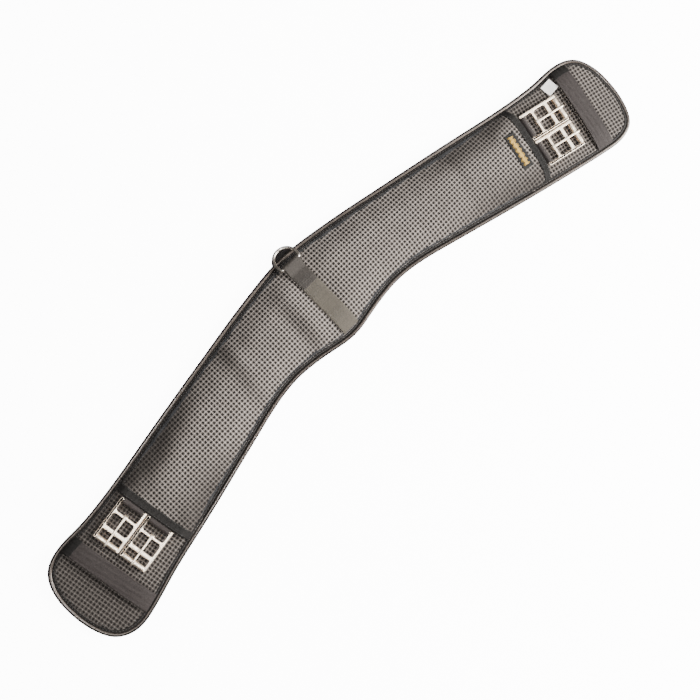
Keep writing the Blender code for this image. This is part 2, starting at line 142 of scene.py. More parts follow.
def cad_floor_loop(node):
    """The outline of a node's lowest face, in order."""
    shape = bmesh.new()
    shape.from_mesh(frame["nodes"][node].data)
    bmesh.ops.remove_doubles(shape, verts=shape.verts, dist=1e-6)
    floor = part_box(node)[0].z
    low = [e for e in shape.edges if all(v.co.z < floor + 1e-5 for v in e.verts)]
    rim = [e for e in low if any(abs(f.normal.z) < 0.5 for f in e.link_faces)]
    links = {}
    for edge in rim:
        a, b = edge.verts
        links.setdefault(a.index, []).append(b.index)
        links.setdefault(b.index, []).append(a.index)
    shape.verts.ensure_lookup_table()
    order = [rim[0].verts[0].index]
    last = None
    while len(order) < len(rim):
        ahead = next(k for k in links[order[-1]] if k != last)
        last = order[-1]
        order.append(ahead)
    loop = [tuple(shape.verts[k].co[:2]) for k in order]
    shape.free()
    return np.array(loop)


def ring_area(ring):
    """Signed area, positive when the ring runs counter-clockwise."""
    x, y = ring[:, 0], ring[:, 1]
    return 0.5 * np.sum(x * np.roll(y, -1) - np.roll(x, -1) * y)


def inward(ring):
    """Unit vectors that point into the ring."""
    along = np.roll(ring, -1, axis=0) - np.roll(ring, 1, axis=0)
    along /= np.linalg.norm(along, axis=1)[:, None]
    return np.column_stack([-along[:, 1], along[:, 0]])


def make_edge():
    """The outer edge of the piping, counter-clockwise."""
    loop = cad_floor_loop("lining")
    if ring_area(loop) < 0:
        loop = loop[::-1]
    ring = soften(smooth_ring(loop, EDGE_POINTS), 60)
    return ring - inward(ring) * LINING_INSET


EDGE = make_edge()
EDGE_IN = inward(EDGE)
ARMS = {side: arm_frame(side) for side in ("left", "right")}


def edge_at(inset):
    """The edge moved inward."""
    return EDGE + EDGE_IN * inset


def near_ring(points, ring):
    """For each point: signed distance into the ring (positive inside), and the nearest place on it."""
    points = np.asarray(points, float)
    n = len(ring)
    best = np.empty(len(points), int)
    for start in range(0, len(points), 4000):
        block = points[start:start + 4000]
        gap = (block[:, None, 0] - ring[None, :, 0]) ** 2 + (block[:, None, 1] - ring[None, :, 1]) ** 2
        best[start:start + 4000] = gap.argmin(axis=1)
    nearest = ring[best].copy()
    shortest = np.linalg.norm(points - nearest, axis=1)
    normal = inward(ring)[best]
    for a, b in ((best - 1, best), (best, (best + 1) % n)):
        span = ring[b] - ring[a]
        share = np.sum((points - ring[a]) * span, axis=1) / np.sum(span * span, axis=1)
        foot = ring[a] + span * np.clip(share, 0, 1)[:, None]
        gap = np.linalg.norm(points - foot, axis=1)
        closer = gap < shortest
        nearest[closer] = foot[closer]
        shortest[closer] = gap[closer]
    side = np.sum((points - ring[best]) * normal, axis=1)
    return np.where(side >= 0, shortest, -shortest), nearest


def edge_inset(points):
    """How far inside the edge each point lies."""
    return near_ring(points, EDGE)[0]


def to_arm(side, points):
    """Plan points in an arm's u and v."""
    place = ARMS[side]
    moved = points - np.array(place.translation[:2])
    u = moved @ np.array(place.col[0][:2])
    v = moved @ np.array(place.col[1][:2])
    return np.column_stack([u, v])


def from_arm(side, u, v):
    """A plan point from an arm's u and v."""
    place = ARMS[side] @ Vector((u, v, 0))
    return np.array((place.x, place.y))


def lip_u(side, v):
    """The pocket mouth, whose two ends are drawn inward."""
    share = np.minimum(np.abs(v) / LIP_HALF, 1.15)
    return LIP_U - LIP_BOW[side] * share**4


def clip_ring(ring, side, start, bow, keep_outer):
    """Cut a ring along a line across an arm. A bowed cut follows the pocket mouth."""

    def cut(v):
        return start + (lip_u(side, v) - LIP_U if bow else 0)

    sign = 1 if keep_outer else -1
    arm = to_arm(side, ring)
    depth = sign * (arm[:, 0] - cut(arm[:, 1]))
    kept, crossings = [], []
    for i in range(len(ring)):
        here, before = depth[i], depth[i - 1]
        if here * before < 0:
            share = before / (before - here)
            crossings.append((len(kept), ring[i - 1] + (ring[i] - ring[i - 1]) * share))
            kept.append(crossings[-1][1])
        if here >= 0:
            kept.append(ring[i])
    (a, first), (b, second) = crossings
    if b > a + 1:  # the ring starts in the part that is cut off, so the line closes its two ends
        first, second, b = second, first, len(kept)
    va, vb = (to_arm(side, point[None])[0, 1] for point in (first, second))
    steps = [va + (vb - va) * k / 60 for k in range(1, 60)]
    line = [from_arm(side, cut(v), v) for v in steps]
    return np.array(kept[:b] + line + kept[b:])


def cut_at_mouths(ring, start, bow):
    """A ring cut across both arms, without its two ends."""
    for side in ARMS:
        ring = clip_ring(ring, side, start, bow, False)
    return ring


# ---------------- mesh helpers

def add_object(name, data):
    """An object in the scene."""
    made = bpy.data.objects.new(name, data)
    bpy.context.scene.collection.objects.link(made)
    return made


def turn_outward(mesh, join=0.0):
    """Turn a closed mesh's faces outward, after joining points that lie closer than join."""
    shape = bmesh.new()
    shape.from_mesh(mesh)
    if join:
        bmesh.ops.remove_doubles(shape, verts=shape.verts, dist=join)
    bmesh.ops.recalc_face_normals(shape, faces=shape.faces)
    shape.to_mesh(mesh)
    shape.free()


def new_mesh(name, verts, faces, finish, closed=True):
    """A smooth mesh, with its faces turned outward where it is closed."""
    mesh = bpy.data.meshes.new(name)
    mesh.from_pydata([tuple(v) for v in verts], [], faces)
    if closed:
        turn_outward(mesh)
    mesh.update()
    mesh.materials.append(finish)
    mesh.shade_smooth()
    return mesh


def add_mesh(name, verts, faces, finish, body="girth", closed=True):
    """A mesh object that rides on a body."""
    made = add_object(name, new_mesh(name, verts, faces, finish, closed))
    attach(made, body)
    return made


def tube_faces(rings, sides, first=0, closed=False):
    """Faces from ring to ring of a tube, and caps at both ends unless it closes on itself."""
    faces = []
    for i in range(rings if closed else rings - 1):
        a, b = first + i * sides, first + (i + 1) % rings * sides
        for k in range(sides):
            l = (k + 1) % sides
            faces.append((a + k, b + k, b + l, a + l))
    if not closed:
        faces.append(tuple(range(first, first + sides)))
        faces.append(tuple(reversed(range(first + (rings - 1) * sides, first + rings * sides))))
    return faces


def patch_faces(rows, columns):
    """Faces of a grid of points."""
    faces = []
    for i in range(rows - 1):
        for k in range(columns - 1):
            a = i * columns + k
            faces.append((a, a + 1, a + columns + 1, a + columns))
    return faces


def sweep(name, centres, across, normals, section, finish, body="girth", closed=False):
    """Carry a closed section of (across, normal) offsets along a path and cap its ends."""
    verts = []
    for centre, side, normal in zip(centres, across, normals):
        for a, n in section:
            verts.append(Vector(centre) + Vector(side) * a + Vector(normal) * n)
    return add_mesh(name, verts, tube_faces(len(centres), len(section), closed=closed), finish, body)


def strip_section(width, thickness, columns):
    """The section of a webbing: flat, with rounded selvedges."""
    radius = thickness * 0.45
    flat = width / 2 - radius
    side = [(-flat + 2 * flat * k / columns, thickness / 2) for k in range(columns + 1)]
    for k in range(1, 6):
        angle = math.pi / 2 - math.pi * k / 6
        side.append((flat + radius * math.cos(angle), thickness / 2 * math.sin(angle)))
    return side + [(-a, -n) for a, n in side]


def round_section(radius, sides):
    """A circle as a section."""
    return [(radius * math.cos(2 * math.pi * k / sides), radius * math.sin(2 * math.pi * k / sides))
            for k in range(sides)]


def path_normals(points, across):
    """The normal at each point of a path that lies square to across."""
    ahead, back = points[1:] + points[-1:], points[:1] + points[:-1]
    return [(b - a).cross(across).normalized() for a, b in zip(back, ahead)]


def waves(x, y, seed):
    """Smooth, repeatable unevenness between about -1 and 1."""
    total = 0
    source = np.random.default_rng(seed)
    for _ in range(7):
        angle, phase = source.uniform(0, 2 * math.pi, 2)
        length = source.uniform(0.035, 0.11)
        total = total + np.sin((x * math.cos(angle) + y * math.sin(angle)) * 2 * math.pi / length + phase)
    return total / 4


def ease(t):
    """A smooth step from 0 to 1."""
    t = np.clip(t, 0, 1)
    return t * t * (3 - 2 * t)


def shoulder(inset, start, end, low, high):
    """The height of a padded skin that leaves the seam steeply and levels out."""
    t = np.clip((inset - start) / (end - start), 0, 1)
    return low + (high - low) * (1 - (1 - t) ** 2.4)


def waffle_pits(a, b):
    """How deep in a pit each lattice point is, from 0 on the threads to 1."""
    return np.sin(math.pi * a / PITCH) ** 2 * np.sin(math.pi * b / PITCH) ** 2


# Soft folds of the panel's cloth: place, direction in degrees, length, width and height, in millimetres.
FOLDS = [(-27, 18, 93, 62, 8.5, 2.4), (-45, 16, 94, 55, 7, -1.4), (-110, 38, 98, 40, 9, 2.2),
         (-250, 22, 12, 40, 9, -1.6), (-205, 44, 17, 60, 8, -1.2), (205, 42, -14, 70, 10, -1.8),
         (262, 18, -30, 30, 9, -1.4), (-120, 62, 10, 60, 7, -1.2), (110, -12, -35, 40, 8, -0.9),
         (-75, -8, 20, 45, 8, -0.8), (65, 66, -10, 45, 7, -1.3)]


def folds(points):
    """The height that the soft folds add at each point."""
    total = np.zeros(len(points))
    for x, y, turn, length, width, rise in FOLDS:
        angle = math.radians(turn)
        dx, dy = points[:, 0] - x * MM, points[:, 1] - y * MM
        along = dx * math.cos(angle) + dy * math.sin(angle)
        across = dy * math.cos(angle) - dx * math.sin(angle)
        bend = across - 0.0025 * (along / MM) ** 2 * MM
        total += rise * MM * np.exp(-(along / (0.6 * length * MM)) ** 2 - (bend / (width * MM)) ** 2)
    return total


def panel_height(points):
    """The top of the centre panel: a crowned pad, pulled down at the pocket mouths and at the strap."""
    x, y = points[:, 0], points[:, 1]
    inset = edge_inset(points)
    calm = np.ones(len(points))
    for side in ARMS:
        arm = to_arm(side, points)
        back = lip_u(side, arm[:, 1]) - arm[:, 0]
        calm *= ease((back - 8 * MM) / (45 * MM))
    high = PANEL_HEIGHT + sampled(CUSHION, points) + calm * (0.4 * MM * waves(x, y, 3) + folds(points))
    reach = np.clip((inset - PANEL_INSET) / (PANEL_SHOULDER + SOFT_EDGE * calm), 0, 1)
    z = PANEL_SEAM_HEIGHT + (high - PANEL_SEAM_HEIGHT) * (1 - (1 - reach) ** (2.4 - 0.5 * calm))
    return z - 0.4 * MM * (1 - calm)


# Painted shade in creases of the panel's cloth: X, middle and reach along Y in millimetres, and how dark the
# painted shade is.
CREASES = ((-38, 18, 44, 0.4), (-120, 28, 44, 0.42), (0, 34, 26, 0.22), (212, 20, 30, 0.14))


def panel_painted_shade(points):
    """How much painted shade darkens the panel's cloth: along its rim, most of all by the pockets, and in
    creases.
    """
    x = points[:, 0]
    inset, nearest = near_ring(points, EDGE)
    front = ease((nearest[:, 1] - points[:, 1]) / (4 * MM) + 0.5)
    ends = ease((np.abs(x) - 140 * MM) / (95 * MM))
    left = ease((-x - 60 * MM) / (80 * MM))
    rim = front * (0.14 + 0.24 * left + 0.6 * ends) + (1 - front) * (0.06 + 0.68 * ends)
    width = 13 * MM + 30 * MM * ends
    total = rim * (1 - ease((inset - 7 * MM) / width))
    for place, middle, reach, depth in CREASES:
        across = (x / MM - place - 0.08 * (points[:, 1] / MM - middle)) / 9
        along = (points[:, 1] / MM - middle) / reach
        total += depth * np.exp(-(across**2) - along**4)
    return np.clip(total, 0, 0.85)


def left_tab_painted_shade(points):
    """Painted shade on the left tab's cloth: darker toward its front edge and its end."""
    arm = to_arm("left", points)
    front = ease((points[:, 1] + 25 * MM) / (45 * MM))
    return 0.1 + 0.45 * np.maximum(front, ease((arm[:, 0] - 45 * MM) / (25 * MM)))


def right_tab_painted_shade(points):
    """Painted shade on the right tab's cloth: darker by its front edge."""
    return 0.35 * ease((points[:, 1] + 5 * MM) / (25 * MM))


# Painted shade on each tab's cloth.
TAB_PAINTED_SHADE = {"left": left_tab_painted_shade, "right": right_tab_painted_shade}


def cover_height(points):
    """The top of a tab cover."""
    high = COVER_HEIGHT + 0.15 * MM * waves(points[:, 0], points[:, 1], 11)
    return shoulder(edge_inset(points), COVER_INSET, 13 * MM, 7.0 * MM, high)


def grid_skin(name, ring, place, step, height, finish, thickness, shade=None):
    """A cloth skin over a region: a square grid snapped to its edge. Waffle cloth also has pits and painted
    shade.
    """
    origin = np.array(place.translation[:2])
    axes = np.array([place.col[0][:2], place.col[1][:2]])
    local = (ring - origin) @ axes.T
    low = np.floor(local.min(axis=0) / step).astype(int) - 1
    high = np.ceil(local.max(axis=0) / step).astype(int) + 1
    nu, nv = high - low + 1
    uu, vv = np.meshgrid(np.arange(low[0], high[0] + 1) * step, np.arange(low[1], high[1] + 1) * step,
                         indexing="ij")
    flat = np.column_stack([uu.ravel(), vv.ravel()])
    plan = flat @ axes + origin
    depth, nearest = near_ring(plan, ring)
    inside = depth > 0
    index = np.arange(nu * nv).reshape(nu, nv)
    quads = np.stack([index[:-1, :-1], index[1:, :-1], index[1:, 1:], index[:-1, 1:]], axis=-1).reshape(-1, 4)
    quads = quads[inside[quads].any(axis=1)]
    used, flat_quads = np.unique(quads, return_inverse=True)
    quads = flat_quads.reshape(-1, 4)
    plan, depth, nearest, flat = plan[used], depth[used], nearest[used], flat[used]
    plan = np.where((depth <= 0)[:, None], nearest, plan)
    z = height(plan)
    if shade:
        fade = ease(np.clip(depth, 0, None) / (3.5 * MM))
        z = z - PIT_DEPTH * waffle_pits(flat[:, 0], flat[:, 1]) * fade
    made = add_mesh(name, np.column_stack([plan, z]), quads.tolist(), finish, closed=False)
    if shade:
        # Painted shade, carried as a point attribute for the waffle finish.
        layer = made.data.attributes.new("shade", "FLOAT", "POINT")
        layer.data.foreach_set("value", shade(plan).astype(np.float32))
    thicken(made, thickness)
    return made


def evaluated_mesh(made):
    """A new mesh with the object's modifiers applied."""
    bpy.context.view_layer.update()
    return bpy.data.meshes.new_from_object(made.evaluated_get(bpy.context.evaluated_depsgraph_get()))


def apply_modifiers(made):
    """Make the evaluated mesh the object's own."""
    mesh = evaluated_mesh(made)
    made.modifiers.clear()
    made.data = mesh


def thicken(made, thickness, rounded_off=False):
    """Turn a sheet's face up, give it thickness below, and smooth it once if asked."""
    if sum(face.normal.z for face in made.data.polygons) < 0:
        made.data.flip_normals()
    shell = made.modifiers.new("thickness", "SOLIDIFY")
    shell.thickness = thickness
    shell.offset = -1
    if rounded_off:
        rounding = made.modifiers.new("rounding", "SUBSURF")
        rounding.levels = rounding.render_levels = 1
    apply_modifiers(made)


# ---------------- the panel's inflated shape

CUSHION_GRID = 6 * MM
CUSHION_VOXEL = 5 * MM
CUSHION_BOTTOM, CUSHION_TOP = 4 * MM, 13 * MM
SAMPLE_STEP = 4 * MM
SIM_FRAMES = 20


def sewn_down(points):
    """Which points of the cushion are held: its rim, the pocket mouths and the line of the strap."""
    held = edge_inset(points) < 13 * MM
    for side in ARMS:
        arm = to_arm(side, points)
        held |= lip_u(side, arm[:, 1]) - arm[:, 0] < 15 * MM
    return held | (np.abs(points[:, 0] - RING_PIVOT.x) < 12 * MM)


def inflate(made):
    """Blow up a closed cushion with cloth simulation, held along its seams."""
    scene = bpy.context.scene
    spots = np.empty(len(made.data.vertices) * 3, np.float32)
    made.data.vertices.foreach_get("co", spots)
    spots = spots.reshape(-1, 3)
    group = made.vertex_groups.new(name="sewn")
    group.add([int(k) for k in np.flatnonzero(sewn_down(spots[:, :2]))], 1.0, "REPLACE")
    cloth = made.modifiers.new("padding", "CLOTH")
    settings = cloth.settings
    settings.quality = 6
    settings.mass = 0.3
    settings.tension_stiffness = settings.compression_stiffness = 5
    settings.bending_stiffness = 0.5
    settings.shrink_min = -0.02  # the cover is cut a little larger than the pad
    settings.use_pressure = True
    settings.uniform_pressure_force = 14
    settings.effector_weights.gravity = 0
    settings.vertex_group_mass = group.name
    cloth.point_cache.frame_start = 1
    cloth.point_cache.frame_end = SIM_FRAMES
    for step in range(1, SIM_FRAMES + 1):
        scene.frame_set(step)
    apply_modifiers(made)
    scene.frame_set(1)


def cushion_rise():
    """How far the simulated cushion's top rises above its start, on a regular grid in plan."""
    ring = cut_at_mouths(edge_at(PANEL_INSET + 2 * MM), LIP_U, True)
    start = bpy.data.materials.new("cushion_start")
    made = grid_skin("cushion", ring, LATTICE, CUSHION_GRID,
                     lambda p: np.full(len(p), CUSHION_TOP), start, CUSHION_TOP - CUSHION_BOTTOM)
    remesh = made.modifiers.new("voxels", "REMESH")
    remesh.mode = "VOXEL"
    remesh.voxel_size = CUSHION_VOXEL
    apply_modifiers(made)
    inflate(made)
    mesh = made.data
    tree = BVHTree.FromPolygons([v.co for v in mesh.vertices], [face.vertices[:] for face in mesh.polygons])
    low, high = ring.min(axis=0) - SAMPLE_STEP, ring.max(axis=0) + SAMPLE_STEP
    xs, ys = (np.arange(low[k], high[k] + SAMPLE_STEP, SAMPLE_STEP) for k in range(2))
    rise = np.zeros((len(xs), len(ys)))
    for i, x in enumerate(xs):
        for k, y in enumerate(ys):
            hit = tree.ray_cast(Vector((x, y, 0.2)), -UP)[0]
            rise[i, k] = hit.z - CUSHION_TOP if hit else 0
    bpy.data.objects.remove(made)
    bpy.data.materials.remove(start)
    rise = CROWN * np.tanh(np.clip(rise, 0, None) / CROWN)
    for _ in range(2):
        for axis in (0, 1):
            rise = 0.5 * rise + 0.25 * (np.roll(rise, 1, axis) + np.roll(rise, -1, axis))
    return xs, ys, rise


def sampled(grid, points):
    """The grid's value at each point, between its four neighbours."""
    xs, ys, values = grid
    a = np.clip((points[:, 0] - xs[0]) / SAMPLE_STEP, 0, len(xs) - 1.001)
    b = np.clip((points[:, 1] - ys[0]) / SAMPLE_STEP, 0, len(ys) - 1.001)
    i, k = a.astype(int), b.astype(int)
    s, t = a - i, b - k
    return ((1 - s) * (1 - t) * values[i, k] + s * (1 - t) * values[i + 1, k]
            + (1 - s) * t * values[i, k + 1] + s * t * values[i + 1, k + 1])


CUSHION = cushion_rise()


# ---------------- materials

class Finish:
    """A Principled material whose nodes are written as expressions."""

    def __init__(self, name, **sockets):
        self.material = bpy.data.materials.new(name)
        self.material.use_nodes = True
        self.nodes = self.material.node_tree.nodes
        self.links = self.material.node_tree.links
        self.shader = self.nodes["Principled BSDF"]
        for socket, value in sockets.items():
            self.shader.inputs[socket.replace("_", " ")].default_value = value

    def put(self, source, target):
        """Link a socket, or set a constant."""
        if isinstance(source, bpy.types.NodeSocket):
            self.links.new(source, target)
        else:
            target.default_value = source

    def math(self, operation, a, b=0.0, c=0.0):
        node = self.nodes.new("ShaderNodeMath")
        node.operation = operation
        for source, target in zip((a, b, c), node.inputs):
            self.put(source, target)
        return node.outputs[0]

    def times(self, a, b, plus=None):
        """a times b, and plus a third value where one is given."""
        return self.math("MULTIPLY", a, b) if plus is None else self.math("MULTIPLY_ADD", a, b, plus)

    def ripple(self, value, pitch):
        """0 to 1 and back once in each pitch."""
        return self.math("ABSOLUTE", self.math("SINE", self.times(value, math.pi / pitch)))

    def place(self, lattice=LATTICE):
        """Object coordinates in a lattice's own axes: x, y and z sockets."""
        coords = self.nodes.new("ShaderNodeTexCoord")
        shift = self.nodes.new("ShaderNodeVectorMath")
        shift.operation = "SUBTRACT"
        shift.inputs[1].default_value = lattice.translation
        self.links.new(coords.outputs["Object"], shift.inputs[0])
        turn = self.nodes.new("ShaderNodeVectorRotate")
        turn.rotation_type = "Z_AXIS"
        turn.inputs["Angle"].default_value = -lattice.to_euler().z
        self.links.new(shift.outputs[0], turn.inputs["Vector"])
        self.vector = turn.outputs[0]
        parts = self.nodes.new("ShaderNodeSeparateXYZ")
        self.links.new(turn.outputs[0], parts.inputs[0])
        return parts.outputs

    def weave(self, x_pitch, y_pitch):
        """Rounded threads both ways, in object coordinates."""
        x, y, _ = self.place()
        return self.times(self.ripple(x, x_pitch), self.ripple(y, y_pitch))

    def noise(self, scale, detail=2.0, rough=0.5):
        node = self.nodes.new("ShaderNodeTexNoise")
        node.inputs["Scale"].default_value = scale
        node.inputs["Detail"].default_value = detail
        node.inputs["Roughness"].default_value = rough
        self.links.new(self.vector, node.inputs["Vector"])
        return node.outputs[0]

    def mix(self, factor, a, b):
        """Blend two colours or two colour sockets."""
        node = self.nodes.new("ShaderNodeMix")
        node.data_type = "RGBA"
        self.put(factor, node.inputs["Factor"])
        for source, target in ((a, node.inputs["A"]), (b, node.inputs["B"])):
            self.put(source if isinstance(source, bpy.types.NodeSocket) else (*source, 1), target)
        return node.outputs["Result"]

    def spread(self, value, low, high, to_low=0.0, to_high=1.0):
        """Map a range to another, clamped, with a smooth step."""
        node = self.nodes.new("ShaderNodeMapRange")
        node.interpolation_type = "SMOOTHSTEP"
        self.links.new(value, node.inputs["Value"])
        for source, target in zip((low, high, to_low, to_high), node.inputs[1:5]):
            target.default_value = source
        return node.outputs[0]

    def colour(self, source):
        self.put(source, self.shader.inputs["Base Color"])

    def roughness(self, source):
        self.put(source, self.shader.inputs["Roughness"])

    def bump(self, height, distance, strength=1.0):
        node = self.nodes.new("ShaderNodeBump")
        node.inputs["Strength"].default_value = strength
        node.inputs["Distance"].default_value = distance
        self.links.new(height, node.inputs["Height"])
        self.links.new(node.outputs[0], self.shader.inputs["Normal"])


# The waffle's thread in its shade, its thread, its crossings with a painted highlight and its faded patches.
WAFFLE_TONES = ((0.12, 0.102, 0.09), (0.27, 0.236, 0.213), (0.6, 0.545, 0.5), (0.15, 0.13, 0.117))


def waffle_finish(name, lattice, tone):
    """Pits darkened as painted shade between raised threads, crossings lightened as a painted highlight, with
    fuzz, faint uneven fading and painted shade from the shade attribute.
    """
    f = Finish(name, Roughness=0.8, Sheen_Weight=0.08, Sheen_Roughness=0.5, Specular_IOR_Level=0.2)
    x, y, _ = f.place(lattice)
    across, along = f.ripple(x, PITCH), f.ripple(y, PITCH)
    yarn = f.noise(1500, 3.0, 0.6)
    broad = f.noise(9, 2.0)
    frayed = [f.times(yarn, 0.3, part) for part in (across, along)]
    pit = f.times(*(f.spread(part, 0.6, 0.98) for part in frayed))
    # Painted shade: the pits are coloured near black.
    dark = f.math("MINIMUM", f.times(pit, 1.25), 1.0)
    crossing = f.times(*(f.spread(part, 0.15, 0.75, 1.0, 0.0) for part in (across, along)))
    twill = f.times(f.ripple(f.math("ADD", x, y), 0.62 * MM), 0.45)
    low, mid, high, fade = ([tone * part for part in colour] for colour in WAFFLE_TONES)
    thread = f.mix(f.spread(yarn, 0.3, 0.75), low, mid)
    # Painted highlight: the raised crossings are coloured lighter.
    lit = f.mix(f.times(crossing, f.math("SUBTRACT", 0.95, twill)), thread, high)
    faded = f.mix(f.spread(broad, 0.35, 0.7, 0.0, 0.3), lit, fade)
    shade = f.nodes.new("ShaderNodeAttribute")
    shade.attribute_name = "shade"
    # Painted shade: the shade attribute darkens the cloth along the panel's rim, in its creases and on the
    # tabs.
    with_painted_shade = f.mix(shade.outputs["Fac"], faded, (0.022, 0.018, 0.016))
    f.colour(f.mix(dark, with_painted_shade, (0.012, 0.0095, 0.008)))
    relief = f.times(yarn, 0.3, f.math("SUBTRACT", 1.0, dark))
    f.bump(f.times(twill, -0.35, relief), 0.35 * MM, 0.9)
    return f.material


def lining_finish():
    """Fine black knit."""
    f = Finish("lining_cloth", Roughness=0.9, Sheen_Weight=0.3, Specular_IOR_Level=0.25)
    loops = f.weave(1.1 * MM, 0.8 * MM)
    fuzz = f.noise(700, 3.0)
    f.colour(f.mix(f.times(loops, fuzz), (0.012, 0.012, 0.013), (0.05, 0.05, 0.054)))
    f.bump(f.times(fuzz, 0.5, loops), 0.2 * MM, 0.7)
    return f.material


def foam_finish():
    """Closed-cell foam."""
    f = Finish("pad_foam", Roughness=0.95)
    f.place()
    cells = f.noise(900, 2.0)
    f.colour(f.mix(cells, (0.05, 0.05, 0.05), (0.14, 0.14, 0.14)))
    f.bump(cells, 0.3 * MM)
    return f.material


def vinyl_finish():
    """Glossy black piping vinyl with fine grain and small scuffs."""
    f = Finish("piping_vinyl", Specular_IOR_Level=0.9, Specular_Tint=(1, 0.86, 0.76, 1),
               Coat_Weight=0.4, Coat_Roughness=0.12, Coat_Tint=(1, 0.9, 0.82, 1))
    f.place()
    grain = f.noise(1300, 2.0)
    scuff = f.noise(160, 4.0, 0.7)
    f.colour(f.mix(f.spread(scuff, 0.5, 0.8), (0.006, 0.006, 0.0065), (0.022, 0.021, 0.02)))
    f.roughness(f.spread(scuff, 0.3, 0.75, 0.34, 0.5))
    f.bump(f.times(grain, 0.4, f.noise(120, 1.0)), 0.06 * MM, 0.35)
    return f.material


def webbing_finish(name, lattice, dark, light):
    """Woven webbing: ribs across it, with a herringbone of yarns."""
    f = Finish(name, Roughness=0.65, Sheen_Weight=0.06, Specular_IOR_Level=0.25)
    x, y, _ = f.place(lattice)
    ribs = f.ripple(y, 1.25 * MM)
    slant = f.times(f.ripple(x, 3.2 * MM), 1.4 * MM)
    yarns = f.ripple(f.math("ADD", x, slant), 0.9 * MM)
    cross = f.ripple(f.math("ADD", y, slant), 0.75 * MM)
    weave = f.times(f.times(yarns, 0.22, 0.7), f.times(cross, 0.5, 0.5))
    fuzz = f.noise(1100, 3.0, 0.6)
    tone = f.times(f.times(ribs, 0.35, weave), f.times(fuzz, 0.7, 0.6))
    f.colour(f.mix(f.spread(tone, 0.2, 1.0), dark, light))
    f.bump(f.times(ribs, 0.5, weave), 0.25 * MM, 0.8)
    return f.material


def tape_finish(name, light):
    """Plain-woven binding tape."""
    f = Finish(name, Roughness=0.65, Sheen_Weight=0.04, Specular_IOR_Level=0.2)
    weave = f.weave(0.8 * MM, 0.8 * MM)
    fuzz = f.noise(500, 3.0)
    f.colour(f.mix(f.times(weave, fuzz), (0.008, 0.0075, 0.007), light))
    f.bump(weave, 0.15 * MM, 0.8)
    return f.material


def metal_finish(name, dark, light, rough_low, rough_high):
    """Cast and tumbled metal: smooth, with a little tarnish and wear."""
    f = Finish(name, Metallic=1.0)
    f.place()
    cloud = f.noise(260, 3.0, 0.6)
    fine = f.noise(1600, 2.0)
    f.colour(f.mix(f.spread(cloud, 0.3, 0.7), dark, light))
    f.roughness(f.spread(fine, 0.2, 0.8, rough_low, rough_high))
    f.bump(f.times(fine, 0.3, cloud), 0.06 * MM, 0.5)
    return f.material


def thread_finish(name, dark, light):
    """Twisted sewing thread."""
    f = Finish(name, Roughness=0.5, Sheen_Weight=0.2)
    f.place()
    twist = f.noise(2500, 2.0)
    f.colour(f.mix(twist, dark, light))
    f.bump(twist, 0.1 * MM)
    return f.material


def tag_finish():
    """White satin ribbon."""
    f = Finish("white_tag", Roughness=0.5, Sheen_Weight=0.2)
    weave = f.weave(0.5 * MM, 0.5 * MM)
    f.colour(f.mix(weave, (0.8, 0.77, 0.73), (0.96, 0.94, 0.9)))
    f.bump(weave, 0.08 * MM, 0.5)
    return f.material


WAFFLE = waffle_finish("waffle_cloth", LATTICE, 1.0)
# Painted shade: the tabs' waffle is darker than the panel's, the left tab most.
TAB_SHADED_TONE = {"left": 0.58, "right": 0.66}
TAB_WAFFLE = {side: waffle_finish(f"waffle_{side}_tab", ARMS[side], TAB_SHADED_TONE[side]) for side in ARMS}
LINING = lining_finish()
FOAM = foam_finish()
VINYL = vinyl_finish()
DARK_WEB = ((0.005, 0.004, 0.0038), (0.036, 0.029, 0.027))
WEB = {side: webbing_finish(f"webbing_{side}", ARMS[side], *DARK_WEB) for side in ARMS}
LIGHT_WEB = ((0.018, 0.0155, 0.011), (0.1, 0.087, 0.068))
MIDDLE_WEB = ((0.007, 0.006, 0.005), (0.05, 0.043, 0.037))
LENGTHWISE_Y = Matrix.Rotation(math.pi / 2, 4, "Z")
CENTRE_WEB = webbing_finish("centre_webbing", LENGTHWISE_Y, *LIGHT_WEB)
FOLD_WEB = webbing_finish("fold_webbing", LENGTHWISE_Y, *MIDDLE_WEB)
TAPE = tape_finish("binding_tape", (0.031, 0.024, 0.021))
LIP_TAPE = {"left": tape_finish("lip_binding_left", (0.034, 0.029, 0.026)),
            "right": tape_finish("lip_binding_right", (0.022, 0.019, 0.017))}
STEEL = metal_finish("bright_steel", (0.98, 0.8, 0.63), (1.0, 0.9, 0.74), 0.36, 0.52)
NICKEL = metal_finish("dark_nickel", (0.58, 0.52, 0.45), (0.84, 0.78, 0.7), 0.3, 0.42)
THREAD = thread_finish("black_thread", (0.008, 0.008, 0.008), (0.05, 0.047, 0.045))
GOLD = thread_finish("gold_thread", (0.36, 0.2, 0.02), (0.72, 0.46, 0.08))
LABEL = tape_finish("woven_label", (0.045, 0.042, 0.04))
TAG = tag_finish()


# ---------------- the pad

def make_piping():
    """The glossy cord in its vinyl, all the way round."""
    low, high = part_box("edge_piping")
    height = (low.z + high.z) / 2
    ring = edge_at(PIPING_RADIUS)
    centres = [(x, y, height) for x, y in ring]
    across = [(n[0], n[1], 0) for n in EDGE_IN]
    up = [(0, 0, 1)] * len(centres)
    section = round_section(PIPING_RADIUS, 20)
    made = sweep("edge_piping_skin", centres, across, up, section, VINYL, closed=True)
    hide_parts("edge_piping")


def lining_height(points):
    """The lining's upper side: flat on the floor, turned up to the seam."""
    t = np.clip((edge_inset(points) - 3.2 * MM) / (7 * MM), 0, 1)
    return 1.2 * MM + 3.6 * MM * (1 - t) ** 2.2


def make_lining():
    made = grid_skin("lining_skin", edge_at(3.2 * MM), LATTICE, 3 * MM, lining_height, LINING, 1.2 * MM)
    for vertex in made.data.vertices:  # nothing reaches below the floor
        vertex.co.z = max(vertex.co.z, 0.0)
    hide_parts("lining")


def foam_height(points):
    return shoulder(edge_inset(points), 7.5 * MM, 11.5 * MM, 5.4 * MM, 7.5 * MM)


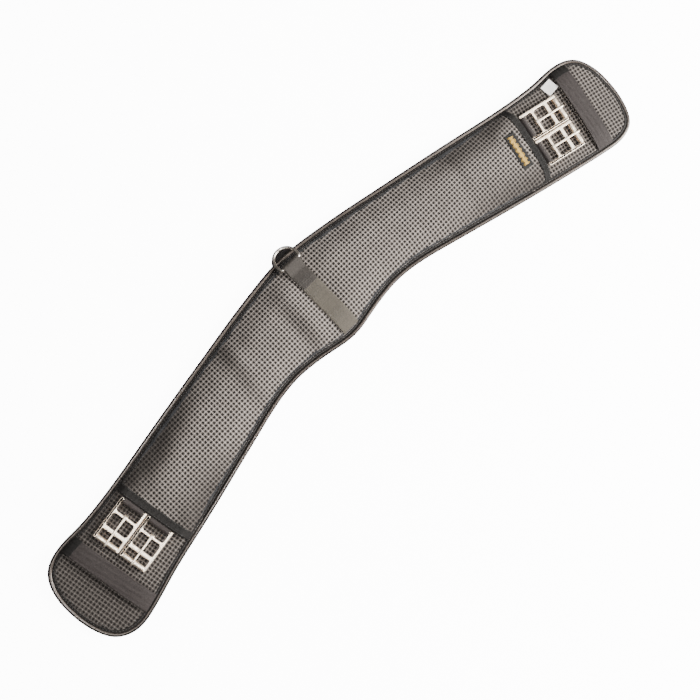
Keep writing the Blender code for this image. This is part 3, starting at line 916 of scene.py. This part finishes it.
def make_foam():
    made = grid_skin("foam_core_pad", edge_at(7.5 * MM), LATTICE, 4 * MM, foam_height, FOAM, 2.6 * MM)
    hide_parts("foam_core")


def make_base_cloth():
    ring = cut_at_mouths(edge_at(8 * MM), -32.5 * MM, False)
    made = grid_skin("centre_base_cloth_skin", ring, LATTICE, 5 * MM,
                     lambda p: np.full(len(p), 9.0 * MM), LINING, 0.8 * MM)
    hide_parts("centre_base_cloth")


def make_tab_cover(side):
    """The waffle cloth of one tab, which runs on under the panel."""
    ring = clip_ring(edge_at(COVER_INSET), side, -32 * MM, False, True)
    made = grid_skin(f"{side}_tab_cloth", ring, ARMS[side], PITCH / CELLS, cover_height, TAB_WAFFLE[side],
                     SKIN, TAB_PAINTED_SHADE[side])
    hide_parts(f"{side}_tab_cover")


def make_centre_panel():
    """The padded waffle panel between the two pocket mouths."""
    ring = cut_at_mouths(edge_at(PANEL_INSET), LIP_U, True)
    made = grid_skin("centre_panel_cloth", ring, LATTICE, PITCH / CELLS, panel_height, WAFFLE,
                     2 * SKIN, panel_painted_shade)
    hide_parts("centre_panel")


# ---------------- webbing and tape

KEEPER_WIDTH = 20.5 * MM
KEEPER_RISE = 4.6 * MM
KEEPER_THICKNESS = 1.3 * MM
KEEPER_U = 71.1 * MM
TRIM_INSET = 5.2 * MM  # where the ends of keepers and tapes go down into the seam


def seam_reach(side, u, sign):
    """How far across an arm the trims run at u before they meet the piping."""
    v = np.linspace(0, sign * 75 * MM, 151)
    inside = edge_inset([from_arm(side, u, one) for one in v]) > TRIM_INSET
    return v[inside.argmin() - 1]


def cloth_patch(name, rows, thickness, finish):
    """A closed piece of cloth from rows of points, thickened downward and smoothed once."""
    faces = patch_faces(len(rows), len(rows[0]))
    made = add_mesh(name, [point for row in rows for point in row], faces, finish, closed=False)
    thicken(made, thickness, True)
    return made


def grid_rows(rows, columns, spot):
    """Rows of points spot(a, b) for cloth_patch, with a and b from -0.5 to 0.5."""
    return [[spot(i / (rows - 1) - 0.5, k / (columns - 1) - 0.5) for k in range(columns)]
            for i in range(rows)]


def keeper_rows(side, widen, first, last, lift_all):
    """Rows of points over one keeper, from one share of its length to another (-1 to 1)."""
    columns, steps = 26, 90
    rows = []
    for i in range(columns + 1):
        u = KEEPER_U + (KEEPER_WIDTH + widen) * (i / columns - 0.5)
        rear, front = seam_reach(side, u, -1), seam_reach(side, u, 1)
        row = []
        for k in range(steps + 1):
            share = math.sin(math.pi / 2 * (first + (last - first) * k / steps))
            v = rear + (front - rear) * (share + 1) / 2
            ends = COVER_HEIGHT + 1.9 * MM - 1.6 * MM * abs(share) ** 14
            lift = KEEPER_RISE * (1 - abs(share) ** 4)
            cup = 0.35 * MM * (2 * i / columns - 1) ** 2
            ripples = 0.12 * MM * math.sin(i * 0.9 + 5 * share)
            row.append((*from_arm(side, u, v), ends + lift - cup + ripples + lift_all))
        rows.append(row)
    return rows


def make_keeper(side):
    """Webbing that bridges a tab, with its ends sewn down in the seam and a black patch over its front end as
    painted shadow.
    """
    made = cloth_patch(f"{side}_keeper_webbing", keeper_rows(side, 0, -1, 1, 0), KEEPER_THICKNESS, WEB[side])
    front = 1 if ARMS[side].col[1][1] > 0 else -1  # the sign of v at the front edge
    # Painted shadow: a thin black patch over the front end stands for the shadow where the keeper dips into
    # the seam.
    rows = keeper_rows(side, 0.9 * MM, *sorted((front * 1.0, front * 0.62)), 0.6 * MM)
    end = cloth_patch(f"{side}_keeper_painted_shadow", rows, 0.45 * MM, LIP_TAPE["right"])
    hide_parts(f"{side}_keeper")


LIP_TAPE_WIDTH = {"left": 9.5 * MM, "right": 8.0 * MM}


def lip_steps(side, margin=0.0):
    """Values of v along a pocket mouth, from seam to seam."""
    rear, front = (seam_reach(side, LIP_U, sign) for sign in (-1, 1))
    return [rear + (front - rear) * (margin + (1 - 2 * margin) * k / 80) for k in range(81)]


def make_lip_tape(side):
    """Binding folded over the edge of one pocket mouth."""
    # The fold in millimetres: distance out from the mouth, and height above the panel.
    width = LIP_TAPE_WIDTH[side] / MM
    fold = [(0.2 - width, 0.3), (0.7 - width, 0.75), (-width * 0.8, 0.6), (-width * 0.55, 0.5),
            (-width * 0.3, 0.6), (-0.9, 0.7), (-0.1, 0.45), (0.35, -0.2), (0.45, -0.9), (0.15, -1.7),
            (-0.6, -2.3), (-1.8, -2.5), (-3.2, -2.45)]
    rows = []
    for out, lift in fold:
        row = []
        for k, v in enumerate(lip_steps(side)):
            base = np.array([from_arm(side, lip_u(side, v) - 0.5 * MM, v)])
            here = from_arm(side, lip_u(side, v) + out * MM, v)
            top = panel_height(np.array([here]) if out < -0.5 else base)[0]
            pucker = 0.1 * MM * math.sin(k * 1.3) * (1 if out < 0 else 0.4)
            row.append((*here, top + lift * MM + pucker))
        rows.append(row)
    made = cloth_patch(f"{side}_lip_binding", rows, 0.55 * MM, LIP_TAPE[side])
    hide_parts(f"{side}_pocket_tape")


STRAP_WIDTH = 25 * MM


def arc(centre, radius, start, end, steps):
    """Points round part of a circle, in degrees."""
    return [(centre[0] + radius * math.cos(math.radians(start + (end - start) * k / steps)),
             centre[1] + radius * math.sin(math.radians(start + (end - start) * k / steps)))
            for k in range(steps + 1)]


def buckle_frame(side, row):
    """The place of one buckle: u along the rails, v across, at the height of its bars."""
    place = ARMS[side].copy()
    pivot = Vector(JOINTS[f"{side}_{row}_buckle_tip"]["pos_m"])
    along = Vector(place.col[0][:3])
    place.translation = pivot - along * LOOP_BAR_U
    return place


def make_buckle_strap(side, row):
    """Webbing that comes out of the pocket, round the inner bar of a buckle and back in."""
    place = buckle_frame(side, row)
    bar = (LOOP_BAR_U, 0)
    low, high = -2.72 * MM, -1.15 * MM
    path = [(-46 * MM, low), (-30 * MM, low), (-16 * MM, low), (-6 * MM, low)]
    path += arc(bar, 2.72 * MM, -90, 152, 22)
    path += [(-1.3 * MM, 0.1 * MM), (-3.2 * MM, -0.9 * MM)]
    path += [(-6 * MM, high), (-16 * MM, high), (-46 * MM, high)]
    points = [place @ Vector((u, 0, z)) for u, z in path]
    across = Vector(place.col[1][:3])
    made = sweep(f"{side}_{row}_strap_webbing", points, [across] * len(points), path_normals(points, across),
                 strip_section(STRAP_WIDTH, 1.2 * MM, 24), WEB[side])
    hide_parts(f"{side}_{row}_buckle_strap")


# ---------------- the centre strap and its ring

CENTRE_X = RING_PIVOT.x
CENTRE_WIDTH = 21.8 * MM
LAYER = 1.15 * MM
FOLD_END_Y = 40.2 * MM
RAMP_Y = 57 * MM


def strap_base(y):
    """The panel's height under the centre strap."""
    return panel_height(np.array([[CENTRE_X, y]]))[0]


def centre_rows(path, widths, skew):
    """Rows across the strap for cloth_patch: points (y, z), half widths and a sideways lean."""
    rows = []
    for (y, z), half, lean in zip(path, widths, skew):
        row = []
        for k in range(17):
            a = k / 8 - 1
            edge = 0.25 * MM * max(0, abs(a) - 0.8) / 0.2
            row.append((CENTRE_X + lean + a * half, y, z - edge))
        rows.append(row)
    return rows


def make_centre_strap():
    """Webbing across the panel, folded back at the front edge round the bar of the D-ring."""
    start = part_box("centre_strap")[0].y
    pivot_y, pivot_z = RING_PIVOT.y, RING_PIVOT.z
    rise = 0.95 * MM
    lower = []
    for k in range(56):
        y = start + (RAMP_Y - start) * k / 55
        dip = 1.6 * MM * (1 - ease((y - start) / (5 * MM)))
        lower.append((y, strap_base(y) + rise + LAYER - dip))
    around = arc((pivot_y, pivot_z), 3.65 * MM, -80, 118, 22)
    lift = [(RAMP_Y + (around[0][0] - RAMP_Y) * t, lower[-1][1] + (around[0][1] - lower[-1][1]) * t * t)
            for t in (0.25, 0.5, 0.75)]
    upper = []
    for k in range(34):
        t = k / 33
        y = around[-1][0] + (FOLD_END_Y - around[-1][0]) * t
        rest = strap_base(y) + rise + 2 * LAYER + 0.35 * MM
        upper.append((y, rest + (around[-1][1] - rest) * (1 - ease(t * 2.6))))
    # The lower layer shows its upper side, and the folded end its outer side.
    bottom = lower + lift
    half = CENTRE_WIDTH / 2
    rows = centre_rows(bottom, [half] * len(bottom), [0] * len(bottom))
    first = cloth_patch("centre_strap_lower", rows, LAYER, CENTRE_WEB)
    fold = [bottom[-1]] + around + upper
    near = [max(0.0, 1 - abs(y - pivot_y) / (12 * MM)) for y, _ in fold]
    rows = centre_rows(fold, [half + 0.3 * MM * n for n in near], [0.25 * MM * n for n in near])
    second = cloth_patch("centre_strap_fold", rows, LAYER, FOLD_WEB)
    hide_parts("centre_strap")
    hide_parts("centre_strap")


RING_WIRE = 1.9 * MM
RING_HALF = 13.5 * MM
RING_LENGTH = 22.2 * MM
RING_CORNER = 3.0 * MM
RING_DROOP = math.radians(25)


def make_d_ring():
    """A D of round wire, whose straight side lies in the strap's fold."""
    straight = RING_LENGTH - RING_HALF
    plan = [(x, 0) for x in np.linspace(-RING_HALF + RING_CORNER, RING_HALF - RING_CORNER, 12)]
    plan += arc((RING_HALF - RING_CORNER, RING_CORNER), RING_CORNER, -90, 0, 8)[1:]
    plan += arc((0, straight), RING_HALF, 0, 180, 48)
    plan += arc((-RING_HALF + RING_CORNER, RING_CORNER), RING_CORNER, 180, 270, 8)[:-1]
    down = Vector((0, math.cos(RING_DROOP), -math.sin(RING_DROOP)))
    normal = Vector((0, math.sin(RING_DROOP), math.cos(RING_DROOP)))
    centres = [RING_PIVOT + Vector((x, 0, 0)) + down * d for x, d in plan]
    across = []
    for i in range(len(centres)):
        along = (centres[(i + 1) % len(centres)] - centres[i - 1]).normalized()
        across.append(along.cross(normal).normalized())
    section, up = round_section(RING_WIRE, 20), [normal] * len(centres)
    made = sweep("d_ring_wire", centres, across, up, section, NICKEL, "d_ring", closed=True)
    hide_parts("d_ring")


def make_ring_tab():
    """The rounded backing tab that comes out of the seam under the ring."""
    low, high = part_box("ring_tab")
    radius = (high.x - low.x) / 2
    x, y = low.x + radius, high.y - radius

    def spot(a, b):
        angle = math.pi * (0.5 + 0.94 * b)
        outer = Vector((x + radius * math.cos(angle), y + radius * math.sin(angle)))
        inner = Vector((x + radius * 0.9 * math.cos(angle), low.y + 0.6 * MM))
        roll = 0.8 * MM * ease((a - 0.3) / 0.2)
        return (*inner.lerp(outer, a + 0.5), high.z + 0.5 * MM - roll)

    made = cloth_patch("ring_backing", grid_rows(13, 49, spot), 1.2 * MM, TAPE)
    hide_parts("ring_tab")


# ---------------- buckles

RAIL_OUT = 16.3 * MM
RAIL_IN = 13.1 * MM
FRAME_START = -0.4 * MM
FRAME_END = 49.6 * MM
BARS = {"loop": (0.7 * MM, 3.7 * MM), "tongue": (14.5 * MM, 17.5 * MM), "flat": (32.5 * MM, 36.9 * MM),
        "roller": (45.8 * MM, 48.8 * MM)}
FRAME_HALF = 1.6 * MM
FRAME_ROUND = 0.7 * MM
TONGUE_BAR_U = 16.0 * MM
ROLLER_BAR_U = 47.3 * MM
ROLLER_RADIUS = 3.0 * MM


def rounded(points, radii, steps=6):
    """A closed outline whose corners are rounded."""
    n = len(points)
    outline = []
    for i in range(n):
        corner = Vector(points[i])
        back = (Vector(points[i - 1]) - corner).normalized()
        ahead = (Vector(points[(i + 1) % n]) - corner).normalized()
        radius = radii[i % len(radii)]
        for k in range(steps + 1):
            t = k / steps
            a, b = corner + back * radius, corner + ahead * radius
            outline.append(a * (1 - t) ** 2 + corner * 2 * t * (1 - t) + b * t**2)
    return outline


def frame_mesh():
    """A cast buckle frame: two rails and four bars with rounded windows, about the buckle's own axes."""
    inner_end, outer_end = BARS["loop"][0], BARS["roller"][1]
    outer = [(FRAME_START, -RAIL_OUT), (FRAME_END, -RAIL_OUT), (FRAME_END, -RAIL_IN), (outer_end, -RAIL_IN),
             (outer_end, RAIL_IN), (FRAME_END, RAIL_IN), (FRAME_END, RAIL_OUT), (FRAME_START, RAIL_OUT),
             (FRAME_START, RAIL_IN), (inner_end, RAIL_IN), (inner_end, -RAIL_IN), (FRAME_START, -RAIL_IN)]
    radii = [1.5, 1.5, 0.35, 0.35, 0.35, 0.35, 1.5, 1.5, 0.5, 0.5, 0.5, 0.5]
    loops = [rounded(outer, [r * MM for r in radii])]
    # The bars before and after each window, and the radii of its corners there in millimetres.
    windows = (("loop", "tongue", 0.6, 2.8), ("tongue", "flat", 3.0, 2.2), ("flat", "roller", 1.3, 0.35))
    for first, second, r1, r2 in windows:
        a, b = BARS[first][1], BARS[second][0]
        loops.append(rounded([(a, -RAIL_IN), (a, RAIL_IN), (b, RAIL_IN), (b, -RAIL_IN)],
                             [r1 * MM, r1 * MM, r2 * MM, r2 * MM], 8))
    curve = bpy.data.curves.new("buckle_frame", "CURVE")
    curve.dimensions = "2D"
    curve.fill_mode = "BOTH"
    for loop in loops:
        spline = curve.splines.new("POLY")
        spline.points.add(len(loop) - 1)
        for point, co in zip(spline.points, loop):
            point.co = (co.x, co.y, 0, 1)
        spline.use_cyclic_u = True
    curve.extrude = FRAME_HALF - FRAME_ROUND
    curve.bevel_depth = FRAME_ROUND
    curve.bevel_resolution = 4
    curve.offset = -FRAME_ROUND
    maker = add_object("frame_maker", curve)
    mesh = evaluated_mesh(maker)
    bpy.data.objects.remove(maker)
    turn_outward(mesh, 0.02 * MM)
    mesh.shade_smooth()
    mesh.set_sharp_from_angle(angle=math.radians(50))
    mesh.materials.clear()
    mesh.materials.append(STEEL)
    return mesh


def roller_mesh():
    """A rolled sleeve with turned-in ends."""
    half, bore = 12.7 * MM, 2.1 * MM
    profile = [(bore, -half + 0.5 * MM), (bore + 0.25 * MM, -half + 0.1 * MM), (2.5 * MM, -half),
               (2.85 * MM, -half + 0.2 * MM), (ROLLER_RADIUS, -half + 0.7 * MM), (ROLLER_RADIUS, -half / 2),
               (ROLLER_RADIUS, 0)]
    profile += [(r, -a) for r, a in reversed(profile[:-1])]
    sides = 40
    verts = []
    for k in range(sides):
        angle = 2 * math.pi * k / sides
        seam = 0.18 * MM if k == 0 else 0
        for r, a in profile:
            cut = seam if r > 2.9 * MM else 0
            verts.append(((r - cut) * math.cos(angle), a, (r - cut) * math.sin(angle)))
    return new_mesh("buckle_roller", verts, tube_faces(sides, len(profile), closed=True), STEEL)


def tongue_mesh():
    """A tongue curled round its bar, with a shank that lies on the roller; about the bar's axis."""
    reach = ROLLER_BAR_U - TONGUE_BAR_U
    eye = 2.75 * MM
    rest = ROLLER_RADIUS + 0.3 * MM
    path = arc((0, 0), eye, -50, -262, 26)
    path += [(2.4 * MM, eye + 0.08 * MM), (6 * MM, eye + 0.3 * MM), (reach * 0.5, eye + 0.95 * MM),
             (reach - 4 * MM, rest + 0.8 * MM), (reach, rest + 0.88 * MM), (reach + 2 * MM, rest + 0.7 * MM),
             (reach + 3.6 * MM, rest + 0.1 * MM), (reach + 4.4 * MM, rest - 0.35 * MM)]
    count = len(path)
    sides = 14
    verts = []
    for i, (u, z) in enumerate(path):
        ahead, back = path[min(i + 1, count - 1)], path[max(i - 1, 0)]
        along = Vector((ahead[0] - back[0], 0, ahead[1] - back[1])).normalized()
        normal = Vector((-along.z, 0, along.x))
        share = i / (count - 1)
        out = ease((share - 0.72) / 0.12)
        half_v = (2.5 - 1.2 * out) * MM * (1 - 0.35 * ease((share - 0.93) / 0.07))
        half_n = (0.58 + 0.38 * out) * MM * (1 - 0.4 * ease((share - 0.93) / 0.07))
        for k in range(sides):
            a = 2 * math.pi * k / sides
            side = math.copysign(abs(math.cos(a)) ** 0.7, math.cos(a))
            up = math.copysign(abs(math.sin(a)) ** 0.7, math.sin(a))
            verts.append(Vector((u, 0, z)) + Vector((0, side * half_v, 0)) + normal * up * half_n)
    return new_mesh("buckle_tongue", verts, tube_faces(count, sides), STEEL)


def make_buckles():
    """Frame, tongue and roller of each buckle: shared meshes at their own distances along the rails."""
    parts = (("frame", "buckle", frame_mesh(), 0), ("tongue", "tongue", tongue_mesh(), TONGUE_BAR_U),
             ("roller", "roller", roller_mesh(), ROLLER_BAR_U))
    for side, row in BUCKLES:
        name = f"{side}_{row}"
        for part, body, mesh, u in parts:
            made = add_object(f"{name}_{part}_steel", mesh)
            made.matrix_world = buckle_frame(side, row) @ Matrix.Translation((u, 0, 0))
            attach(made, f"{name}_{body}")
            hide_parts(f"{name}_buckle_{part}")


# ---------------- label, tag and stitches

LABEL_PLACE = (-23.1 * MM, 0.2 * MM)
LABEL_SIZE = (14.6 * MM, 44 * MM)
MOTIF_SIZE = (9 * MM, 36 * MM)
TAG_PLACE = (51.2 * MM, 43.2 * MM)
TAG_SIDE = 14 * MM


def make_label():
    """A woven patch by the right pocket, with a plain satin motif."""

    def spot(a, b):
        at = from_arm("right", LABEL_PLACE[0] + LABEL_SIZE[0] * a, LABEL_PLACE[1] + LABEL_SIZE[1] * b)
        border = max(abs(a), abs(b)) > 0.485
        return (*at, panel_height(at[None])[0] + 0.75 * MM - 0.3 * MM * border)

    made = cloth_patch("label_cloth", grid_rows(16, 40, spot), 0.5 * MM, LABEL)
    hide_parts("label_patch")
    motif = []
    count = 62
    for k in range(count):
        v = LABEL_PLACE[1] + MOTIF_SIZE[1] * ((k + 0.5) / count - 0.5)
        swell = 0.25 + 0.75 * abs(math.cos(math.pi * 6 * k / count)) ** 0.7
        reach = MOTIF_SIZE[0] / 2 * swell
        lean = 0.35 * MM * (-1) ** k
        ends = []
        for sign in (-1, 1):
            at = from_arm("right", LABEL_PLACE[0] - 0.6 * MM + sign * reach, v + sign * lean)
            ends.append(Vector((*at, panel_height(at[None])[0] + 0.95 * MM)))
        motif.append((ends[0], ends[1], 0.36 * MM))
    threads("label_motif", motif, GOLD, bow=0.35 * MM)


def make_tag():
    """A blank white ribbon tag, sewn on at one edge and curling up a little."""
    turn = math.radians(17)

    def spot(a, b):
        along, up = a * TAG_SIDE, b * TAG_SIDE
        u = TAG_PLACE[0] + along * math.cos(turn) - up * math.sin(turn) + 1.5 * MM * a
        v = TAG_PLACE[1] + along * math.sin(turn) + up * math.cos(turn)
        curl = 1.6 * MM * (0.5 - b) ** 2 + 0.25 * MM * math.sin(7 * a)
        return (*from_arm("right", u, v), COVER_HEIGHT + 1.3 * MM + curl)

    made = cloth_patch("size_tag_ribbon", grid_rows(15, 15, spot), 0.45 * MM, TAG)
    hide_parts("size_tag")


def threads(name, runs, finish, bow=0.0):
    """Short pieces of thread, each from one point to another with its own radius, as one mesh."""
    rings, sides = 5, 6
    verts, faces = [], []
    for start, end, radius in runs:
        along = end - start
        length = along.length
        along = along / length
        side = along.cross(UP).normalized()
        up = side.cross(along)
        base = len(verts)
        for r in range(rings):
            t = r / (rings - 1)
            centre = start.lerp(end, t) + up * (bow * math.sin(math.pi * t))
            size = radius * max(0.25, math.sin(math.pi * (0.08 + 0.84 * t)) ** 0.5)
            for k in range(sides):
                a = 2 * math.pi * k / sides
                verts.append(centre + side * size * math.cos(a) + up * size * math.sin(a))
        faces += tube_faces(rings, sides, base)
    made = add_mesh(name, verts, faces, finish)


def stitch_runs(points, length, gap, radius):
    """Stitches along a path of points in space."""
    points = np.asarray(points, float)
    run = run_of(points)
    spots = spots_at(points, run, np.arange(0, run[-1] - length, (length + gap) / 2))
    return [(Vector(spots[i]), Vector(spots[i + 1]), radius) for i in range(0, len(spots) - 1, 2)]


def surface_height(points):
    """The highest of the panel and the tab covers at each point."""
    z = cover_height(points)
    on_panel = np.ones(len(points), bool)
    for side in ARMS:
        arm = to_arm(side, points)
        on_panel &= arm[:, 0] < lip_u(side, arm[:, 1])
    return np.where(on_panel, panel_height(points), z)


BINDING = (3.9 * MM, 7.4 * MM)


def make_edge_binding():
    """The turned-in tape inside the piping, all the way round."""
    verts = []
    lanes = [BINDING[0] + (BINDING[1] - BINDING[0]) * k / 4 for k in range(5)]
    for inset in lanes:
        ring = edge_at(inset)
        z = surface_height(ring) + 0.45 * MM
        verts += [(x, y, h) for (x, y), h in zip(ring, z)]
    made = add_mesh("edge_binding_tape", verts, tube_faces(len(lanes), len(EDGE))[:-2], TAPE, closed=False)
    thicken(made, 0.4 * MM)


def make_seam_stitches():
    """Two rows of thread inside the piping, all the way round."""
    runs = []
    for inset, lift in ((5.9 * MM, 0.5 * MM), (9.2 * MM, 0.1 * MM)):
        ring = edge_at(inset)
        ring = np.vstack([ring, ring[:1]])
        z = surface_height(ring) + lift
        runs += stitch_runs(np.column_stack([ring, z]), 2.6 * MM, 0.9 * MM, 0.28 * MM)
    threads("seam_stitches", runs, THREAD)


def make_lip_stitches(side):
    """Two rows of thread along one lip tape."""
    runs = []
    for out in (1.3 * MM - LIP_TAPE_WIDTH[side], -1.5 * MM):
        row = []
        for v in lip_steps(side, 0.02):
            at = from_arm(side, lip_u(side, v) + out, v)
            row.append((*at, panel_height(at[None])[0] + 0.62 * MM))
        runs += stitch_runs(row, 2.4 * MM, 0.8 * MM, 0.24 * MM)
    threads(f"{side}_lip_stitches", runs, THREAD)


def make_strap_stitches():
    """The box stitches of the centre strap: fine rows across it at its fold and its lower end."""
    half = CENTRE_WIDTH / 2 - 1.6 * MM
    runs = []
    for first, last, count, layers in ((FOLD_END_Y + 1.4 * MM, FOLD_END_Y + 11 * MM, 5, 2.6),
                                       (28 * MM, 38 * MM, 6, 1), (-8 * MM, 4 * MM, 6, 1)):
        for k in range(count):
            y = first + (last - first) * k / (count - 1)
            z = strap_base(y) + 1.0 * MM + layers * LAYER + 0.12 * MM
            row = [(CENTRE_X + a * half, y + 0.2 * MM * math.sin(9 * a + k), z)
                   for a in np.linspace(-1, 1, 12)]
            runs += stitch_runs(row, 2.0 * MM, 0.7 * MM, 0.2 * MM)
    threads("strap_stitches", runs, THREAD)


# ---------------- the camera, light and floor

def look(position, target, roll_axis, roll):
    """A camera at a position, turned so that roll_axis lies roll radians above the picture's right."""
    forward = (target - position).normalized()
    level = (roll_axis - forward * roll_axis.dot(forward)).normalized()
    right = Matrix.Rotation(roll, 3, forward) @ level
    return frame_of(right, right.cross(forward), -forward, position)


# The photograph's camera, worked out together with the outline.
CAMERA_POSITION = Vector((-0.1947, -0.0002, 1.172))
CAMERA_TARGET = Vector((-0.015, -0.0409, 0.0))
CHORD_ROLL = math.radians(44.73)
FIELD_OF_VIEW = math.radians(35.92)


def make_camera():
    data = bpy.data.cameras.new("camera")
    data.sensor_width = 36
    data.angle = FIELD_OF_VIEW
    made = add_object("camera", data)
    made.matrix_world = look(CAMERA_POSITION, CAMERA_TARGET, Vector((1, 0, 0)), CHORD_ROLL)
    bpy.context.scene.camera = made


def make_light(name, position, size, power):
    """A square softbox aimed at the girth."""
    data = bpy.data.lights.new(name, "AREA")
    data.shape = "SQUARE"
    data.size = size
    data.energy = power
    data.color = KEY_COLOUR if name == "key" else (1, 1, 1)
    made = add_object(name, data)
    aim = (-Vector(position)).to_track_quat("-Z", "Y")
    made.matrix_world = Matrix.Translation(position) @ aim.to_matrix().to_4x4()


# Square softboxes: name, position, size in metres and power in watts. Only the key is coloured.
LIGHTS = (("key", (1.35, -1.35, 1.1), 1.1, 150), ("top", (0.35, 0.05, 2.2), 2.0, 15),
          ("spark", (-0.22, -0.12, 1.5), 0.22, 8), ("right_card", (1.0, 0.0, 1.6), 0.6, 8),
          ("left_card", (-0.5, 0.02, 1.6), 0.6, 6))
KEY_COLOUR = (1, 0.98, 0.955)


def make_studio():
    """A pale floor that doesn't light the girth, the softboxes and a faint surrounding light."""
    white = Finish("floor", Roughness=0.9, Specular_IOR_Level=0.1, Base_Color=(0.95, 0.95, 0.95, 1),
                   Emission_Color=(1, 1, 1, 1), Emission_Strength=11)
    corners = [(x, y, 0) for x, y in ((-12, -12), (12, -12), (12, 12), (-12, 12))]
    floor = add_object("floor", new_mesh("floor", corners, [(0, 1, 2, 3)], white.material, False))
    floor.location.z = -0.3 * MM
    floor.visible_diffuse = False
    floor.visible_glossy = False
    for light in LIGHTS:
        make_light(*light)
    world = bpy.data.worlds.new("studio")
    bpy.context.scene.world = world
    world.use_nodes = True
    background = world.node_tree.nodes["Background"]
    background.inputs["Color"].default_value = (1.0, 0.99, 0.98, 1)
    background.inputs["Strength"].default_value = 0.08


make_camera()
make_studio()
make_piping()
make_lining()
make_foam()
make_base_cloth()
for arm in ARMS:
    make_tab_cover(arm)
    make_keeper(arm)
    make_lip_tape(arm)
    make_lip_stitches(arm)
make_centre_panel()
for arm, line in BUCKLES:
    make_buckle_strap(arm, line)
make_buckles()
make_centre_strap()
make_d_ring()
make_ring_tab()
make_label()
make_tag()
make_edge_binding()
make_seam_stitches()
make_strap_stitches()
